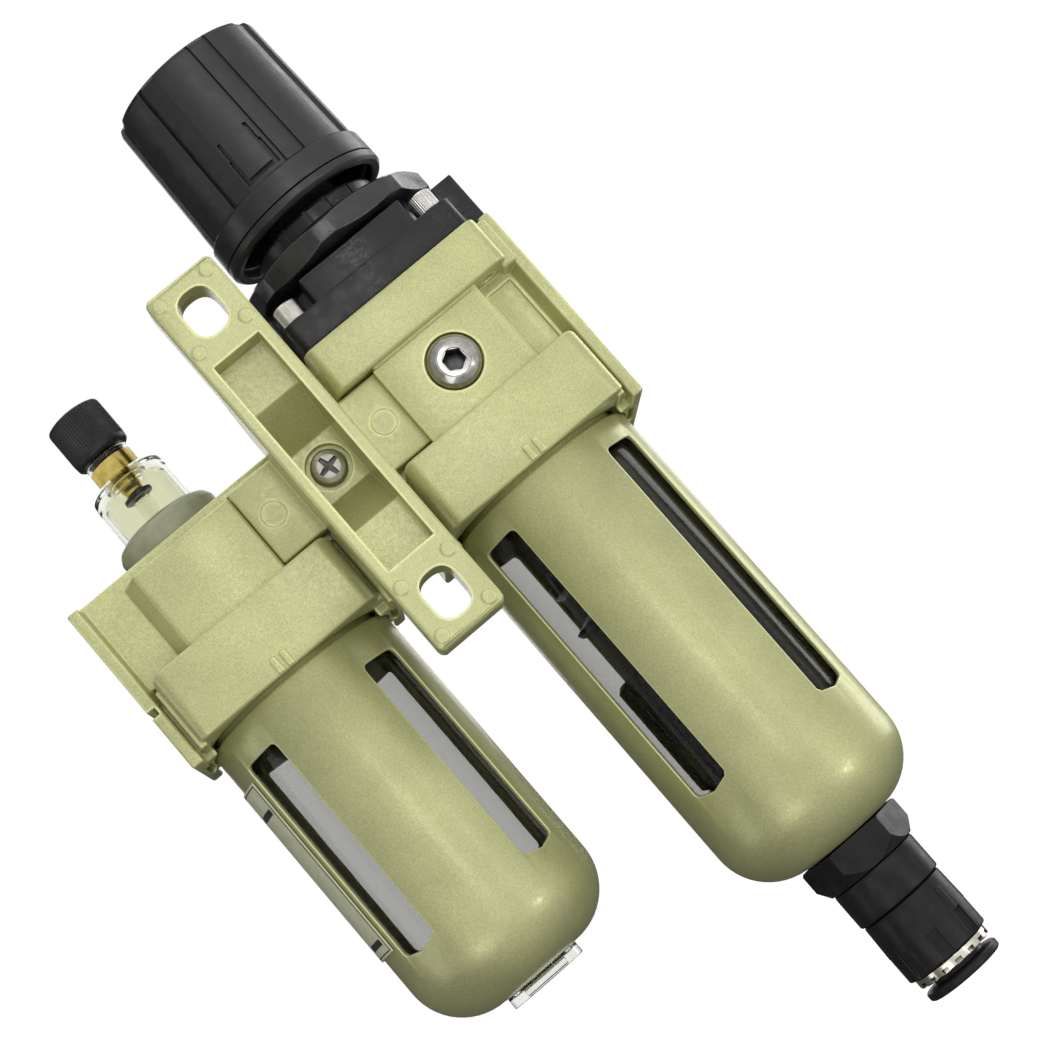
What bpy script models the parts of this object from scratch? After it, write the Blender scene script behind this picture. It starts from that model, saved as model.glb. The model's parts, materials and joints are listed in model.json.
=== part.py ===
"""Filter regulator lubricator: two air-line modules joined by a spacer and hung on a T-shaped bracket.

Frame: +Z up, origin at the centre of the bracket's two slots, on the face that meets the wall. The unit stands
off the wall along +Y. X runs along the air line: the filter regulator is at +X, the lubricator at -X.
"""

import math

import bmesh
import bpy
from mathutils import Matrix, Vector

MM = 0.001

# ---- driving dimensions, in millimetres ----
BACK = 38.0                 # bracket face to the modules' centre plane
PITCH = 64.0                # between the two modules' axes
HALF = 26.3                 # a module's axis to its port face
GAP = 0.3                   # clearance between pieces that meet
PORT_R = 7.6                # inlet, outlet and the passages between the modules
SOCKET_R = 21.2             # bayonet socket under each module
GUARD_R = 22.5              # both bowl guards
GUARD_WALL = 0.9
GUARD_TOP = -27.0
BOWL_R = 20.9
BOWL_WALL = 2.0
BOWL_TOP = -16.0

BLOCK_HALF_X = 21.9         # the modules' upper and lower blocks
BLOCK_HALF_Y = 24.0
LOWER_TOP, LOWER_BOTTOM = -9.9, -25.9
FLANGE_HALF_Y = 18.4
FLANGE_BOTTOM = -28.2
REG_TOP = 20.2              # top face of the filter regulator's body
LUB_TOP = 11.0              # top face of the lubricator's body
FACE_Y = 22.0               # the raised middle faces, front and back

KNOB_TOP, KNOB_BOTTOM = 87.6, 46.5
KNOB_R = 18.4
KNOB_BAND_R = 19.8
KNOB_RING_TOP = 48.9
NUT_TOP, NUT_BOTTOM = 40.3, 34.3
NUT_R = 24.5
BONNET_TOP, BONNET_BOTTOM = 27.3, 20.5
BONNET_HALF = 21.8
BONNET_STEP_TOP = 32.8
SCREW_AT = 17.6             # bonnet screws, each way from the axis

REG_GUARD_BOTTOM, REG_BOWL_BOTTOM = -121.7, -119.4
LUB_GUARD_BOTTOM, LUB_BOWL_BOTTOM = -101.8, -99.6
GUARD_CORNER, BOWL_CORNER = 13.0, 11.0
REG_WINDOW = (-97.6, -33.6)
LUB_WINDOW = (-83.8, -34.5)
REG_WINDOW_TURN, LUB_WINDOW_TURN = 2.0, 1.3
REG_WINDOW_WIDE, LUB_WINDOW_WIDE = 24.0, 22.5
WINDOW_TIP = 1.2            # height of the point at a window's lower end

WING_X, WING_Z = 19.0, 9.0
WING_Y = (-20.5, -15.2)
PLATE_X, PLATE_Z = 8.1, 44.6
PLATE_DEEP = 8.8
SLOT_Z = 36.0
SLOT_R = 3.9
SLOT_STRAIGHT = 2.4         # the slots' straight length, between their round ends

CAP_TOP, CAP_BOTTOM = 46.7, 36.9
CAP_R = 6.2
DOME_R = 8.5
RING_R = 11.6
DAMPER_R, DAMPER_X, DAMPER_HINGE_Y = 6.6, -6.0, 6.8
PLUG_X = 0.6                # the gauge ports stand this far outwards of the regulator's axis

TINY, SMALL, ROUND, LARGE = 8, 12, 16, 24  # flats round a turned piece, by its size


def clear_scene():
    for old in list(bpy.data.objects):
        bpy.data.objects.remove(old, do_unlink=True)


clear_scene()
parts = bpy.data.collections.new("filter_regulator_lubricator")
cutters = bpy.data.collections.new("cutters")
for made in (parts, cutters):
    bpy.context.scene.collection.children.link(made)


def material(name, colour, roughness, metallic, alpha=1.0):
    made = bpy.data.materials.new(name)
    made.use_nodes = True
    shader = made.node_tree.nodes["Principled BSDF"]
    shader.inputs["Base Color"].default_value = (*colour, 1.0)
    shader.inputs["Roughness"].default_value = roughness
    shader.inputs["Metallic"].default_value = metallic
    shader.inputs["Alpha"].default_value = alpha
    return made


PAINT = material("painted_casting", (0.50, 0.52, 0.28), 0.45, 0.4)
BLACK = material("black_plastic", (0.022, 0.023, 0.025), 0.4, 0.0)
STEEL = material("plated_steel", (0.62, 0.61, 0.58), 0.25, 1.0)
BRASS = material("brass", (0.75, 0.52, 0.16), 0.25, 1.0)
CLEAR = material("clear_polycarbonate", (0.85, 0.87, 0.84), 0.05, 0.0, 0.35)
RUBBER = material("black_rubber", (0.03, 0.03, 0.03), 0.8, 0.0)
WHITE = material("filter_media", (0.85, 0.84, 0.80), 0.9, 0.0)
RING_GREY = material("ring_plastic", (0.40, 0.42, 0.33), 0.5, 0.0)
LABEL = material("label_film", (0.70, 0.71, 0.62), 0.4, 0.0)


def empty(name, at, parent=None):
    made = bpy.data.objects.new(name, None)
    parts.objects.link(made)
    made.parent = parent
    made.location = Vector(at) * MM
    return made


UNIT = empty("unit", (0, BACK, 0))
REG = empty("filter_regulator_axis", (PITCH / 2, 0, 0), UNIT)
LUB = empty("lubricator_axis", (-PITCH / 2, 0, 0), UNIT)


# ---- modelling helpers: sizes in millimetres, about the parent's axis ----
def place(name, mesh, parent, skin, at=(0, 0, 0), turn=(0, 0, 0)):
    made = bpy.data.objects.new(name, mesh)
    parts.objects.link(made)
    made.parent = parent
    made.location = Vector(at) * MM
    made.rotation_euler = [math.radians(angle) for angle in turn]
    if not mesh.materials:
        mesh.materials.append(skin)
    return made


def mesh_of(name, bm):
    bmesh.ops.scale(bm, vec=(MM, MM, MM), verts=bm.verts)
    mesh = bpy.data.meshes.new(name)
    bm.to_mesh(mesh)
    bm.free()
    return mesh


def box(name, x, y, z, parent, skin=PAINT, bevel=0.0, upright=0.0):
    """A box from three (low, high) pairs. upright rounds the four edges along Z, bevel rounds the rest."""
    bm = bmesh.new()
    bmesh.ops.create_cube(bm, size=1.0)
    size = [high - low for low, high in (x, y, z)]
    middle = [(high + low) / 2 for low, high in (x, y, z)]
    bmesh.ops.transform(bm, matrix=Matrix.Translation(middle) @ Matrix.Diagonal((*size, 1)), verts=bm.verts)
    if upright:
        edges = [e for e in bm.edges if abs(e.verts[0].co.z - e.verts[1].co.z) > 0.5 * size[2]]
        bmesh.ops.bevel(bm, geom=edges, offset=upright, segments=2, profile=0.5, affect="EDGES")
    if bevel:
        edges = [e for e in bm.edges if e.calc_face_angle(0.0) > 0.8]
        bmesh.ops.bevel(bm, geom=edges, offset=bevel, segments=1, profile=0.5, affect="EDGES")
    return place(name, mesh_of(name, bm), parent, skin)


def prism(name, sides, radius, z, parent, skin, at=(0, 0), turn=0.0, lie=(0, 0, 0)):
    """An upright prism between two heights."""
    bm = bmesh.new()
    bmesh.ops.create_cone(bm, cap_ends=True, segments=sides, radius1=radius, radius2=radius, depth=z[1] - z[0])
    bmesh.ops.rotate(bm, cent=(0, 0, 0), matrix=Matrix.Rotation(math.radians(turn), 3, "Z"), verts=bm.verts)
    bmesh.ops.translate(bm, vec=(0, 0, (z[0] + z[1]) / 2), verts=bm.verts)
    return place(name, mesh_of(name, bm), parent, skin, (*at, 0), lie)


def turned(name, profile, parent, skin, steps=ROUND, at=(0, 0, 0), lie=(0, 0, 0)):
    """A turned piece. The profile's (radius, height) points run down the outer side, and up any inner one."""
    mesh = bpy.data.meshes.new(name)
    points = [(radius * MM, 0.0, height * MM) for radius, height in profile]
    edges = [(i, i + 1) for i in range(len(points) - 1)]
    if profile[0][0] > 0:
        edges.append((len(points) - 1, 0))
    mesh.from_pydata(points, edges, [])
    made = place(name, mesh, parent, skin, at, lie)
    screw = made.modifiers.new("turn", "SCREW")
    screw.axis = "Z"
    screw.steps = screw.render_steps = steps
    screw.use_merge_vertices = True
    screw.merge_threshold = 0.00001
    screw.use_smooth_shade = True
    return made


def rod(name, radius, z, parent, skin, steps=ROUND, at=(0, 0, 0), lie=(0, 0, 0)):
    return turned(name, [(0, z[1]), (radius, z[1]), (radius, z[0]), (0, z[0])], parent, skin, steps, at, lie)


def ring(name, outer, inner, z, parent, skin, steps=ROUND, at=(0, 0, 0), lie=(0, 0, 0)):
    profile = [(outer, z[1]), (outer, z[0]), (inner, z[0]), (inner, z[1])]
    return turned(name, profile, parent, skin, steps, at, lie)


def o_ring(name, middle, section, height, parent, lie=(0, 0, 0)):
    angles = [math.radians(90 - 72 * k) for k in range(5)]
    profile = [(middle + section * math.cos(a), height + section * math.sin(a)) for a in angles]
    return turned(name, profile, parent, RUBBER, lie=lie)


def combine(target, operation, tools):
    for tool in tools:
        for home in list(tool.users_collection):
            home.objects.unlink(tool)
        cutters.objects.link(tool)
        tool.hide_render = True
        tool.display_type = "WIRE"
        boolean = target.modifiers.new(operation.lower(), "BOOLEAN")
        boolean.operation = operation
        boolean.solver = "EXACT"
        boolean.object = tool
    return target


def cut(target, *tools):
    return combine(target, "DIFFERENCE", tools)


def join(target, *tools):
    return combine(target, "UNION", tools)


def coil(name, radius, wire, z, turns, parent, skin):
    per_turn = 8
    curve = bpy.data.curves.new(name, "CURVE")
    curve.dimensions = "3D"
    curve.bevel_depth = wire / 2 * MM
    curve.bevel_resolution = 0
    curve.use_fill_caps = True
    spline = curve.splines.new("POLY")
    count = int(turns * per_turn)
    spline.points.add(count)
    low, high = z[0] + wire / 2, z[1] - wire / 2
    for i in range(count + 1):
        angle = 2 * math.pi * i / per_turn
        height = low + (high - low) * i / count
        spline.points[i].co = (radius * math.cos(angle) * MM, radius * math.sin(angle) * MM, height * MM, 1)
    curve.materials.append(skin)
    made = bpy.data.objects.new(name, curve)
    parts.objects.link(made)
    made.parent = parent
    return made


def along_x(name, radius, x, parent):
    """A cutting rod along X, from x[0] to x[1]."""
    return rod(name, radius, x, parent, PAINT, lie=(0, 90, 0))


def along_y(name, radius, y, parent, steps=ROUND, height=0.0):
    """A cutting rod along Y, from y[0] to y[1]."""
    return rod(name, radius, (-y[1], -y[0]), parent, PAINT, steps, at=(0, 0, height), lie=(90, 0, 0))


# ---- bodies ----
def flange_pocket(name, side, parent):
    """The cored pocket that opens downwards beside the guard, inside each port flange."""
    x = sorted((side * 22.6, side * 25.0))
    return box(name, x, (-7.5, 7.5), (FLANGE_BOTTOM - 1, -20.0), parent, upright=0.8)


def port_flange(name, side, z, parent):
    return box(name, sorted((side * 23.6, side * HALF)), (-FLANGE_HALF_Y, FLANGE_HALF_Y), z, parent, bevel=0.7)


def module_body(name, parent, top, inner):
    """What both bodies share. inner is the side, +1 or -1, that faces the spacer."""
    x_core = sorted((-inner * (HALF - 1.6), inner * HALF))
    body = box(name, x_core, (-14.6, 14.6), (FLANGE_BOTTOM, top), parent, bevel=0.6)
    lower = box(
        name + "_lower_block", (-BLOCK_HALF_X, BLOCK_HALF_X), (-BLOCK_HALF_Y, BLOCK_HALF_Y),
        (LOWER_BOTTOM, LOWER_TOP), parent, bevel=0.8, upright=2.6,
    )
    outer_flange = port_flange(name + "_outer_flange", -inner, (FLANGE_BOTTOM, top + 0.1), parent)
    inner_flange = port_flange(name + "_inner_flange", inner, (FLANGE_BOTTOM, LOWER_TOP + 0.1), parent)
    return join(body, lower, outer_flange, inner_flange)


def bowl_socket(body, parent):
    name = body.name
    socket = rod(name + "_socket", SOCKET_R, (FLANGE_BOTTOM - 1, -14.0), parent, PAINT, LARGE)
    relief = rod(name + "_relief", GUARD_R + 0.6, (FLANGE_BOTTOM - 1, LOWER_BOTTOM + 0.4), parent, PAINT, LARGE)
    pockets = [flange_pocket(f"{name}_pocket{side}", side, parent) for side in (-1, 1)]
    cut(body, socket, relief, *pockets)


def gauge_port(name, side):
    """A counterbored, threaded port. side is -1 at the back and +1 at the front."""
    depths = [(0, FACE_Y + 1), (6.0, FACE_Y + 1), (6.0, 20.6), (4.7, 20.6), (4.7, 12.0), (0, 12.0)]
    return turned(name, depths, REG, PAINT, SMALL, at=(PLUG_X, 0, 0), lie=(-90 * side, 0, 0))


def filter_regulator_body():
    body = module_body("filter_regulator_body", REG, REG_TOP - 0.6, -1)
    join(
        body,
        box("regulator_top_block", (-BLOCK_HALF_X, BLOCK_HALF_X), (-BLOCK_HALF_Y, BLOCK_HALF_Y), (9.5, REG_TOP),
            REG, bevel=0.8, upright=2.6),
        box("regulator_middle_block", (-12.7, 14.0), (-FACE_Y, FACE_Y), (-12.0, 12.0), REG, bevel=0.8),
    )
    bowl_socket(body, REG)
    cut(
        body,
        along_x("inlet_bore", PORT_R, (10.5, HALF + 1), REG),
        along_x("secondary_bore", PORT_R, (-HALF - 1, -9.5), REG),
        rod("inlet_down_passage", 3.6, (-15, 0), REG, PAINT, TINY, at=(15, 0, 0)),
        rod("valve_bore", 6.0, (-15, 2.5), REG, PAINT, SMALL),
        rod("seat_orifice", 4.2, (2, 6), REG, PAINT, SMALL),
        box("secondary_chamber", (-13, 8), (-7, 7), (4.8, 10.0), REG),
        rod("aspirator_passage", 2.4, (9, 15), REG, PAINT, TINY),
        rod("diaphragm_chamber", 17.0, (14.0, REG_TOP + 1), REG, PAINT, ROUND),
        gauge_port("rear_gauge_port", -1),
        gauge_port("front_gauge_port", 1),
    )
    for x in (-SCREW_AT, SCREW_AT):
        for y in (-SCREW_AT, SCREW_AT):
            hole = rod(f"tapped_hole_{x:+.0f}_{y:+.0f}", 2.2, (9, REG_TOP + 1), REG, PAINT, TINY, at=(x, y, 0))
            cut(body, hole)


def lubricator_body():
    body = module_body("lubricator_body", LUB, LUB_TOP, 1)
    join(
        body,
        box("lubricator_upper_block", (-HALF + 1.8, HALF - 0.3), (-16.6, 16.6), (LOWER_TOP - 1, LUB_TOP - 0.2), LUB,
            bevel=0.8),
        box("lubricator_middle_block", (-13.0, 12.7), (-FACE_Y, FACE_Y), (-12.0, 7.8), LUB, bevel=1.2),
    )
    bowl_socket(body, LUB)
    cut(
        body,
        along_x("lubricator_air_bore", PORT_R, (-HALF - 1, HALF + 1), LUB),
        rod("dome_well", 8.9, (8.6, LUB_TOP + 1), LUB, PAINT, ROUND),
        rod("drip_passage", 1.2, (5, 9), LUB, PAINT, SMALL),
        rod("oil_passage", 2.3, (-15, 9), LUB, PAINT, SMALL, at=(0, 11.0, 0)),
        rod("filler_bore", 4.4, (3.0, LUB_TOP + 1), LUB, PAINT, SMALL, at=(-17.5, 9.5, 0)),
        box("flange_notch", (-HALF - 1, -HALF + 1.6), (-20, 20), (-15.6, -13.9), LUB),
        box("inner_flange_recess", (HALF - 2.9, HALF + 1), (-20, -14.9), (-9.9, LUB_TOP - 1.6), LUB),
        box("inner_front_recess", (HALF - 2.9, HALF + 1), (14.9, 20), (-9.9, LUB_TOP - 1.6), LUB),
        box("wing_recess", (12.9, HALF + 1), (-23, -14.9), (-9.4, 9.3), LUB),
        box("front_wing_recess", (12.9, HALF + 1), (14.9, 23), (-9.4, 9.3), LUB),
    )


# ---- regulator head ----
def bonnet():
    body = box("bonnet", (-BONNET_HALF, BONNET_HALF), (-BONNET_HALF, BONNET_HALF), (BONNET_BOTTOM, BONNET_TOP), REG,
               BLACK, bevel=0.5, upright=2.8)
    shell = turned(
        "bonnet_dome",
        [(0, 57.0), (9.0, 57.0), (9.0, 46.0), (14.6, 45.4), (15.0, 44.8), (15.0, 33.8), (18.2, 32.8), (18.8, 26.8),
         (0, 26.8)],
        REG, BLACK,
    )
    step = box("bonnet_step", (-12.9, 12.9), (-BONNET_HALF + 0.2, BONNET_HALF - 0.2), (26.8, BONNET_STEP_TOP), REG,
               BLACK, bevel=0.4)
    join(body, shell, step)
    for side in (-1, 1):
        ear = box(f"bonnet_ear{side}", sorted((side * 21.0, side * 26.3)), (-14.0, 14.0), (20.5, 31.9), REG, BLACK,
                  bevel=0.4)
        join(body, ear)
    cut(
        body,
        rod("spring_chamber", 13.2, (BONNET_BOTTOM - 1, 44.0), REG, BLACK, ROUND),
        rod("diaphragm_recess", 19.9, (BONNET_BOTTOM - 1, 21.7), REG, BLACK, LARGE),
        rod("adjusting_screw_hole", 4.6, (43, 58), REG, BLACK, ROUND),
        rod("adjusting_screw_collar_bore", 7.0, (51.0, 58), REG, BLACK, ROUND),
    )
    for x in (-SCREW_AT, SCREW_AT):
        for y in (-SCREW_AT, SCREW_AT):
            hole = rod(f"clearance_hole_{x:+.0f}_{y:+.0f}", 2.3, (19, 30), REG, BLACK, SMALL, at=(x, y, 0))
            seat = rod(f"head_seat_{x:+.0f}_{y:+.0f}", 3.4, (BONNET_TOP, 36), REG, BLACK, SMALL, at=(x, y, 0))
            cut(body, hole, seat)


def bonnet_screws():
    corners = [(x, y) for x in (-SCREW_AT, SCREW_AT) for y in (-SCREW_AT, SCREW_AT)]
    low = BONNET_TOP + GAP
    for number, (x, y) in enumerate(corners, 1):
        screw = turned(
            f"bonnet_screw_{number}",
            [(0, low + 4.2), (2.6, low + 4.2), (2.8, low + 4.0), (2.8, low), (1.9, low), (1.9, 9.8), (0, 9.8)],
            REG, STEEL, SMALL, at=(x, y, 0),
        )
        socket = prism(f"bonnet_screw_socket_{number}", 6, 1.5, (low + 2, low + 6), REG, STEEL, at=(x, y))
        cut(screw, socket)


def panel_nut():
    nut = prism("panel_nut", 8, NUT_R, (NUT_BOTTOM, NUT_TOP), REG, BLACK, turn=-5 - 90)
    corners = turned(
        "nut_corner_round",
        [(0, NUT_TOP + 1), (21.5, NUT_TOP + 1), (24.1, NUT_TOP - 1.2), (24.1, NUT_BOTTOM + 1.2),
         (21.5, NUT_BOTTOM - 1), (0, NUT_BOTTOM - 1)],
        REG, BLACK, LARGE,
    )
    combine(nut, "INTERSECT", [corners])
    cut(nut, rod("nut_bore", 15.3, (NUT_BOTTOM - 1, NUT_TOP + 1), REG, BLACK, ROUND))


def knob():
    turned(
        "pressure_knob",
        [(0, KNOB_TOP), (16.9, KNOB_TOP), (KNOB_R - 0.3, KNOB_TOP - 0.9), (19.0, 54.7), (KNOB_BAND_R - 0.1, 54.2),
         (KNOB_BAND_R, KNOB_RING_TOP + GAP), (17.3, KNOB_RING_TOP + GAP), (16.6, 83.8), (7.4, 83.8), (7.4, 64.0),
         (4.7, 64.0), (4.7, 82.5), (0, 82.5)],
        REG, BLACK, LARGE,
    )
    turned(
        "knob_ring",
        [(KNOB_BAND_R, KNOB_RING_TOP), (KNOB_BAND_R, KNOB_BOTTOM + 0.8), (KNOB_BAND_R - 0.8, KNOB_BOTTOM),
         (17.4, KNOB_BOTTOM), (17.4, KNOB_RING_TOP)],
        REG, BLACK, LARGE,
    )


def regulator_inside():
    turned(
        "adjusting_screw",
        [(0, 79.4), (4.2, 79.4), (4.2, 55.4), (6.6, 55.4), (6.6, 51.4), (3.0, 51.4), (3.0, 31.0), (0, 31.0)],
        REG, STEEL, SMALL,
    )
    seat_top, seat_low = 42.6, 37.8
    ring("spring_seat", 12.2, 3.3, (seat_low, seat_top), REG, BRASS, ROUND)
    coil("pressure_spring", 8.6, 1.8, (25.0, seat_low - GAP), 3.5, REG, STEEL)
    turned(
        "diaphragm_plate",
        [(0, 24.6), (11.6, 24.6), (11.6, 22.2), (3.0, 22.2), (3.0, 17.2), (0, 17.2)],
        REG, STEEL, ROUND,
    )
    ring("diaphragm", 19.6, 3.4, (REG_TOP + GAP, 21.4), REG, RUBBER, LARGE)
    turned(
        "supply_valve",
        [(0, 16.9), (1.3, 16.9), (1.3, 2.6), (3.6, 2.2), (5.2, 2.2), (5.2, -0.4), (1.6, -0.4), (1.6, -10.0),
         (0, -10.0)],
        REG, BRASS, SMALL,
    )
    coil("valve_spring", 3.6, 0.8, (-7.4, -0.8), 4, REG, STEEL)
    turned(
        "valve_guide",
        [(1.95, -7.7), (5.7, -7.7), (5.7, -16.0), (7.0, -16.3), (7.0, -18.4), (3.0, -18.4), (3.0, -46.0),
         (1.95, -46.0)],
        REG, BLACK, ROUND,
    )


def filter_stack():
    deflector = ring("deflector", 14.8, 7.4, (-23.6, -16.6), REG, BLACK, ROUND)
    for number in range(6):
        angle = math.radians(60 * number)
        slot = box(f"deflector_slot_{number}", (11.5, 17.0), (-1.3, 1.3), (-25, -18.4), REG)
        slot.rotation_euler = (math.radians(25), 0, angle)
        cut(deflector, slot)
    ring("filter_element", 12.0, 8.0, (-45.0, -23.9), REG, WHITE, ROUND)
    turned(
        "baffle",
        [(0, -48.4), (3.3, -48.4), (3.3, -45.3), (13.2, -45.3), (13.2, -47.6), (11.4, -48.6), (5.5, -49.6),
         (5.5, -52.0), (14.6, -56.0), (14.0, -57.0), (4.6, -54.6), (0, -54.6)],
        REG, BLACK, ROUND,
    )


def bowl_profile(bottom, corner, floor):
    """A bowl with a round bottom corner. floor is what lies between the outer and the inner arc."""
    outer = [(BOWL_R - 1.6, BOWL_TOP), (BOWL_R - 1.6, -30.0), (BOWL_R, -32.5), (BOWL_R, bottom + corner)]
    inner_r = BOWL_R - BOWL_WALL
    arc = [math.radians(angle) for angle in (30, 60, 90)]
    outer += [(BOWL_R - corner * (1 - math.cos(a)), bottom + corner * (1 - math.sin(a))) for a in arc]
    inner = [(inner_r - corner * (1 - math.cos(a)), bottom + BOWL_WALL + corner * (1 - math.sin(a))) for a in arc]
    inner = inner[::-1] + [(inner_r, bottom + BOWL_WALL + corner), (inner_r, -32.5), (BOWL_R - 3.8, -30.0),
                           (BOWL_R - 3.8, BOWL_TOP)]
    return outer + floor + inner


def guard_profile(bottom, corner, hole):
    """The guard's sheet: a neck in the body's socket, a full-width skirt and a round bottom corner."""
    inner_r = GUARD_R - GUARD_WALL
    arc = [math.radians(angle) for angle in (30, 60, 90)]
    neck = BOWL_R - 0.4
    outer = [(neck, -21.0), (neck, GUARD_TOP), (GUARD_R - 0.4, GUARD_TOP), (GUARD_R, GUARD_TOP - 0.5),
             (GUARD_R, bottom + corner)]
    outer += [(GUARD_R - corner * (1 - math.cos(a)), bottom + corner * (1 - math.sin(a))) for a in arc]
    small = corner - GUARD_WALL
    inner = [(inner_r, bottom + GUARD_WALL + small)]
    inner += [(inner_r - small * (1 - math.cos(a)), bottom + GUARD_WALL + small * (1 - math.sin(a))) for a in arc]
    return outer + [(hole, bottom), (hole, bottom + GUARD_WALL)] + inner[::-1] + [
        (inner_r, -29.5), (neck - 0.9, -26.6), (neck - 0.9, -21.0)]


def guard(name, parent, bottom, hole, window, wide, turn):
    """A guard with four windows, each with a shallow point at its lower end."""
    body = turned(name, guard_profile(bottom, GUARD_CORNER, hole), parent, PAINT, LARGE)
    half = GUARD_R * math.sin(math.radians(wide / 2))
    tip_z = window[0] + WINDOW_TIP
    for number in range(4):
        angle = math.radians(45 + 90 * number + turn)
        opening = box(f"{name}_window_{number}", (-half, half), (-GUARD_R - 3, -GUARD_R + 6),
                      (tip_z, window[1]), parent)
        opening.rotation_euler = (0, 0, angle)
        point = prism(f"{name}_window_tip_{number}", 4, half, (-1, 1), parent, PAINT)
        point.data.transform(Matrix.Diagonal((1, WINDOW_TIP / half, 5, 1)))
        point.location = Vector((GUARD_R * math.sin(angle), -GUARD_R * math.cos(angle), tip_z)) * MM
        point.rotation_euler = (math.radians(90), 0, angle)
        cut(body, opening, point)


def filter_bowl_group():
    floor = [(6.9, REG_BOWL_BOTTOM), (6.9, REG_BOWL_BOTTOM + BOWL_WALL)]
    turned("filter_bowl", bowl_profile(REG_BOWL_BOTTOM, BOWL_CORNER, floor), REG, CLEAR, LARGE)
    o_ring("filter_bowl_seal", BOWL_R - 0.75, 0.55, -18.0, REG)
    guard("filter_bowl_guard", REG, REG_GUARD_BOTTOM, 7.0, REG_WINDOW, REG_WINDOW_WIDE, REG_WINDOW_TURN)


def drain_group():
    turned(
        "auto_drain_housing",
        [(5.0, -69.6), (15.0, -69.6), (16.0, -70.6), (16.0, -96.0), (9.4, -101.0), (9.4, -116.9), (6.5, -117.1),
         (6.5, -129.2), (2.2, -129.2), (2.2, -100.0), (14.2, -95.0), (14.2, -72.0), (5.0, -72.0)],
        REG, BLACK, ROUND,
    )
    turned(
        "drain_float",
        [(2.0, -77.0), (12.6, -77.0), (13.2, -77.6), (13.2, -93.0), (12.6, -93.6), (1.6, -98.2), (1.6, -103.0),
         (0, -103.0), (0, -95.0), (2.0, -94.0)],
        REG, WHITE, ROUND,
    )
    nut = prism("drain_hex_nut", 6, 12.2, (-129.3, -122.0), REG, BLACK, turn=26.5)
    edge = turned(
        "drain_nut_round",
        [(0, -121.5), (11.0, -121.5), (12.0, -122.4), (12.0, -128.6), (10.6, -129.8), (0, -129.8)],
        REG, BLACK, ROUND,
    )
    combine(nut, "INTERSECT", [edge])
    cut(nut, rod("drain_nut_bore", 6.9, (-131, -120), REG, BLACK, ROUND))
    turned(
        "fitting_adapter",
        [(4.4, -129.6), (8.4, -129.6), (8.4, -130.4), (9.8, -130.6), (10.05, -131.0), (10.05, -137.8), (4.4, -137.8)],
        REG, BLACK, ROUND,
    )
    fitting = turned(
        "fitting_body",
        [(4.4, -138.1), (9.9, -138.1), (9.8, -152.1), (6.4, -152.1), (6.4, -141.0), (4.4, -140.5)],
        REG, BLACK, ROUND,
    )
    for number in range(4):
        notch = box(f"fitting_notch_{number}", (-2.2, 2.2), (-11, -9.1), (-150.4, -147.2), REG)
        notch.rotation_euler = (0, 0, math.radians(90 * number))
        cut(fitting, notch)
    castle = ring("fitting_ring", 8.8, 6.4, (-154.4, -152.4), REG, STEEL, ROUND)
    for number in range(8):
        slot = box(f"fitting_ring_slot_{number}", (-0.9, 0.9), (-10, -7.8), (-155, -153.2), REG)
        slot.rotation_euler = (0, 0, math.radians(45 * number))
        cut(castle, slot)
    turned(
        "release_collar",
        [(6.0, -143.0), (6.0, -155.6), (8.7, -155.8), (8.9, -156.2), (8.9, -157.3), (8.5, -157.7), (4.1, -157.7),
         (4.1, -143.0)],
        REG, BLACK, ROUND,
    )


def gauge_plug(name, side):
    """A button-head plug with a hexagon socket. side is -1 at the back and +1 at the front."""
    tilt = 90 if side < 0 else -90
    plug = turned(
        name,
        [(0, 24.2), (2.4, 24.2), (4.2, 23.6), (5.3, 22.5), (5.6, 21.4), (5.6, 20.9), (4.4, 20.9), (4.4, 12.6),
         (0, 12.6)],
        REG, STEEL, ROUND, at=(PLUG_X, 0, 0), lie=(tilt, 0, 0),
    )
    socket = prism(name + "_socket", 6, 2.1, (21.6, 26), REG, STEEL, lie=(tilt, 0, 0))
    socket.location = plug.location
    cut(plug, socket)


# ---- spacer and bracket ----
def side_profile(name, outline, half_x, skin):
    """A flat outline in (Y, Z), drawn out along X to both sides."""
    bm = bmesh.new()
    near = [bm.verts.new((-half_x, y, z)) for y, z in outline]
    face = bm.faces.new(near)
    moved = bmesh.ops.extrude_face_region(bm, geom=[face])["geom"]
    bmesh.ops.translate(bm, vec=(2 * half_x, 0, 0), verts=[v for v in moved if isinstance(v, bmesh.types.BMVert)])
    bmesh.ops.recalc_face_normals(bm, faces=bm.faces)
    return place(name, mesh_of(name, bm), UNIT, skin)


def slot_cutter(name, middle, y):
    """A vertical slot with round ends, through Y."""
    made = box(name, (-SLOT_R, SLOT_R), y, (middle - SLOT_STRAIGHT / 2, middle + SLOT_STRAIGHT / 2), UNIT)
    ends = [
        along_y(f"{name}_end{side}", SLOT_R, y, UNIT, height=middle + side * SLOT_STRAIGHT / 2)
        for side in (-1, 1)
    ]
    return [made, *ends]


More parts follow.
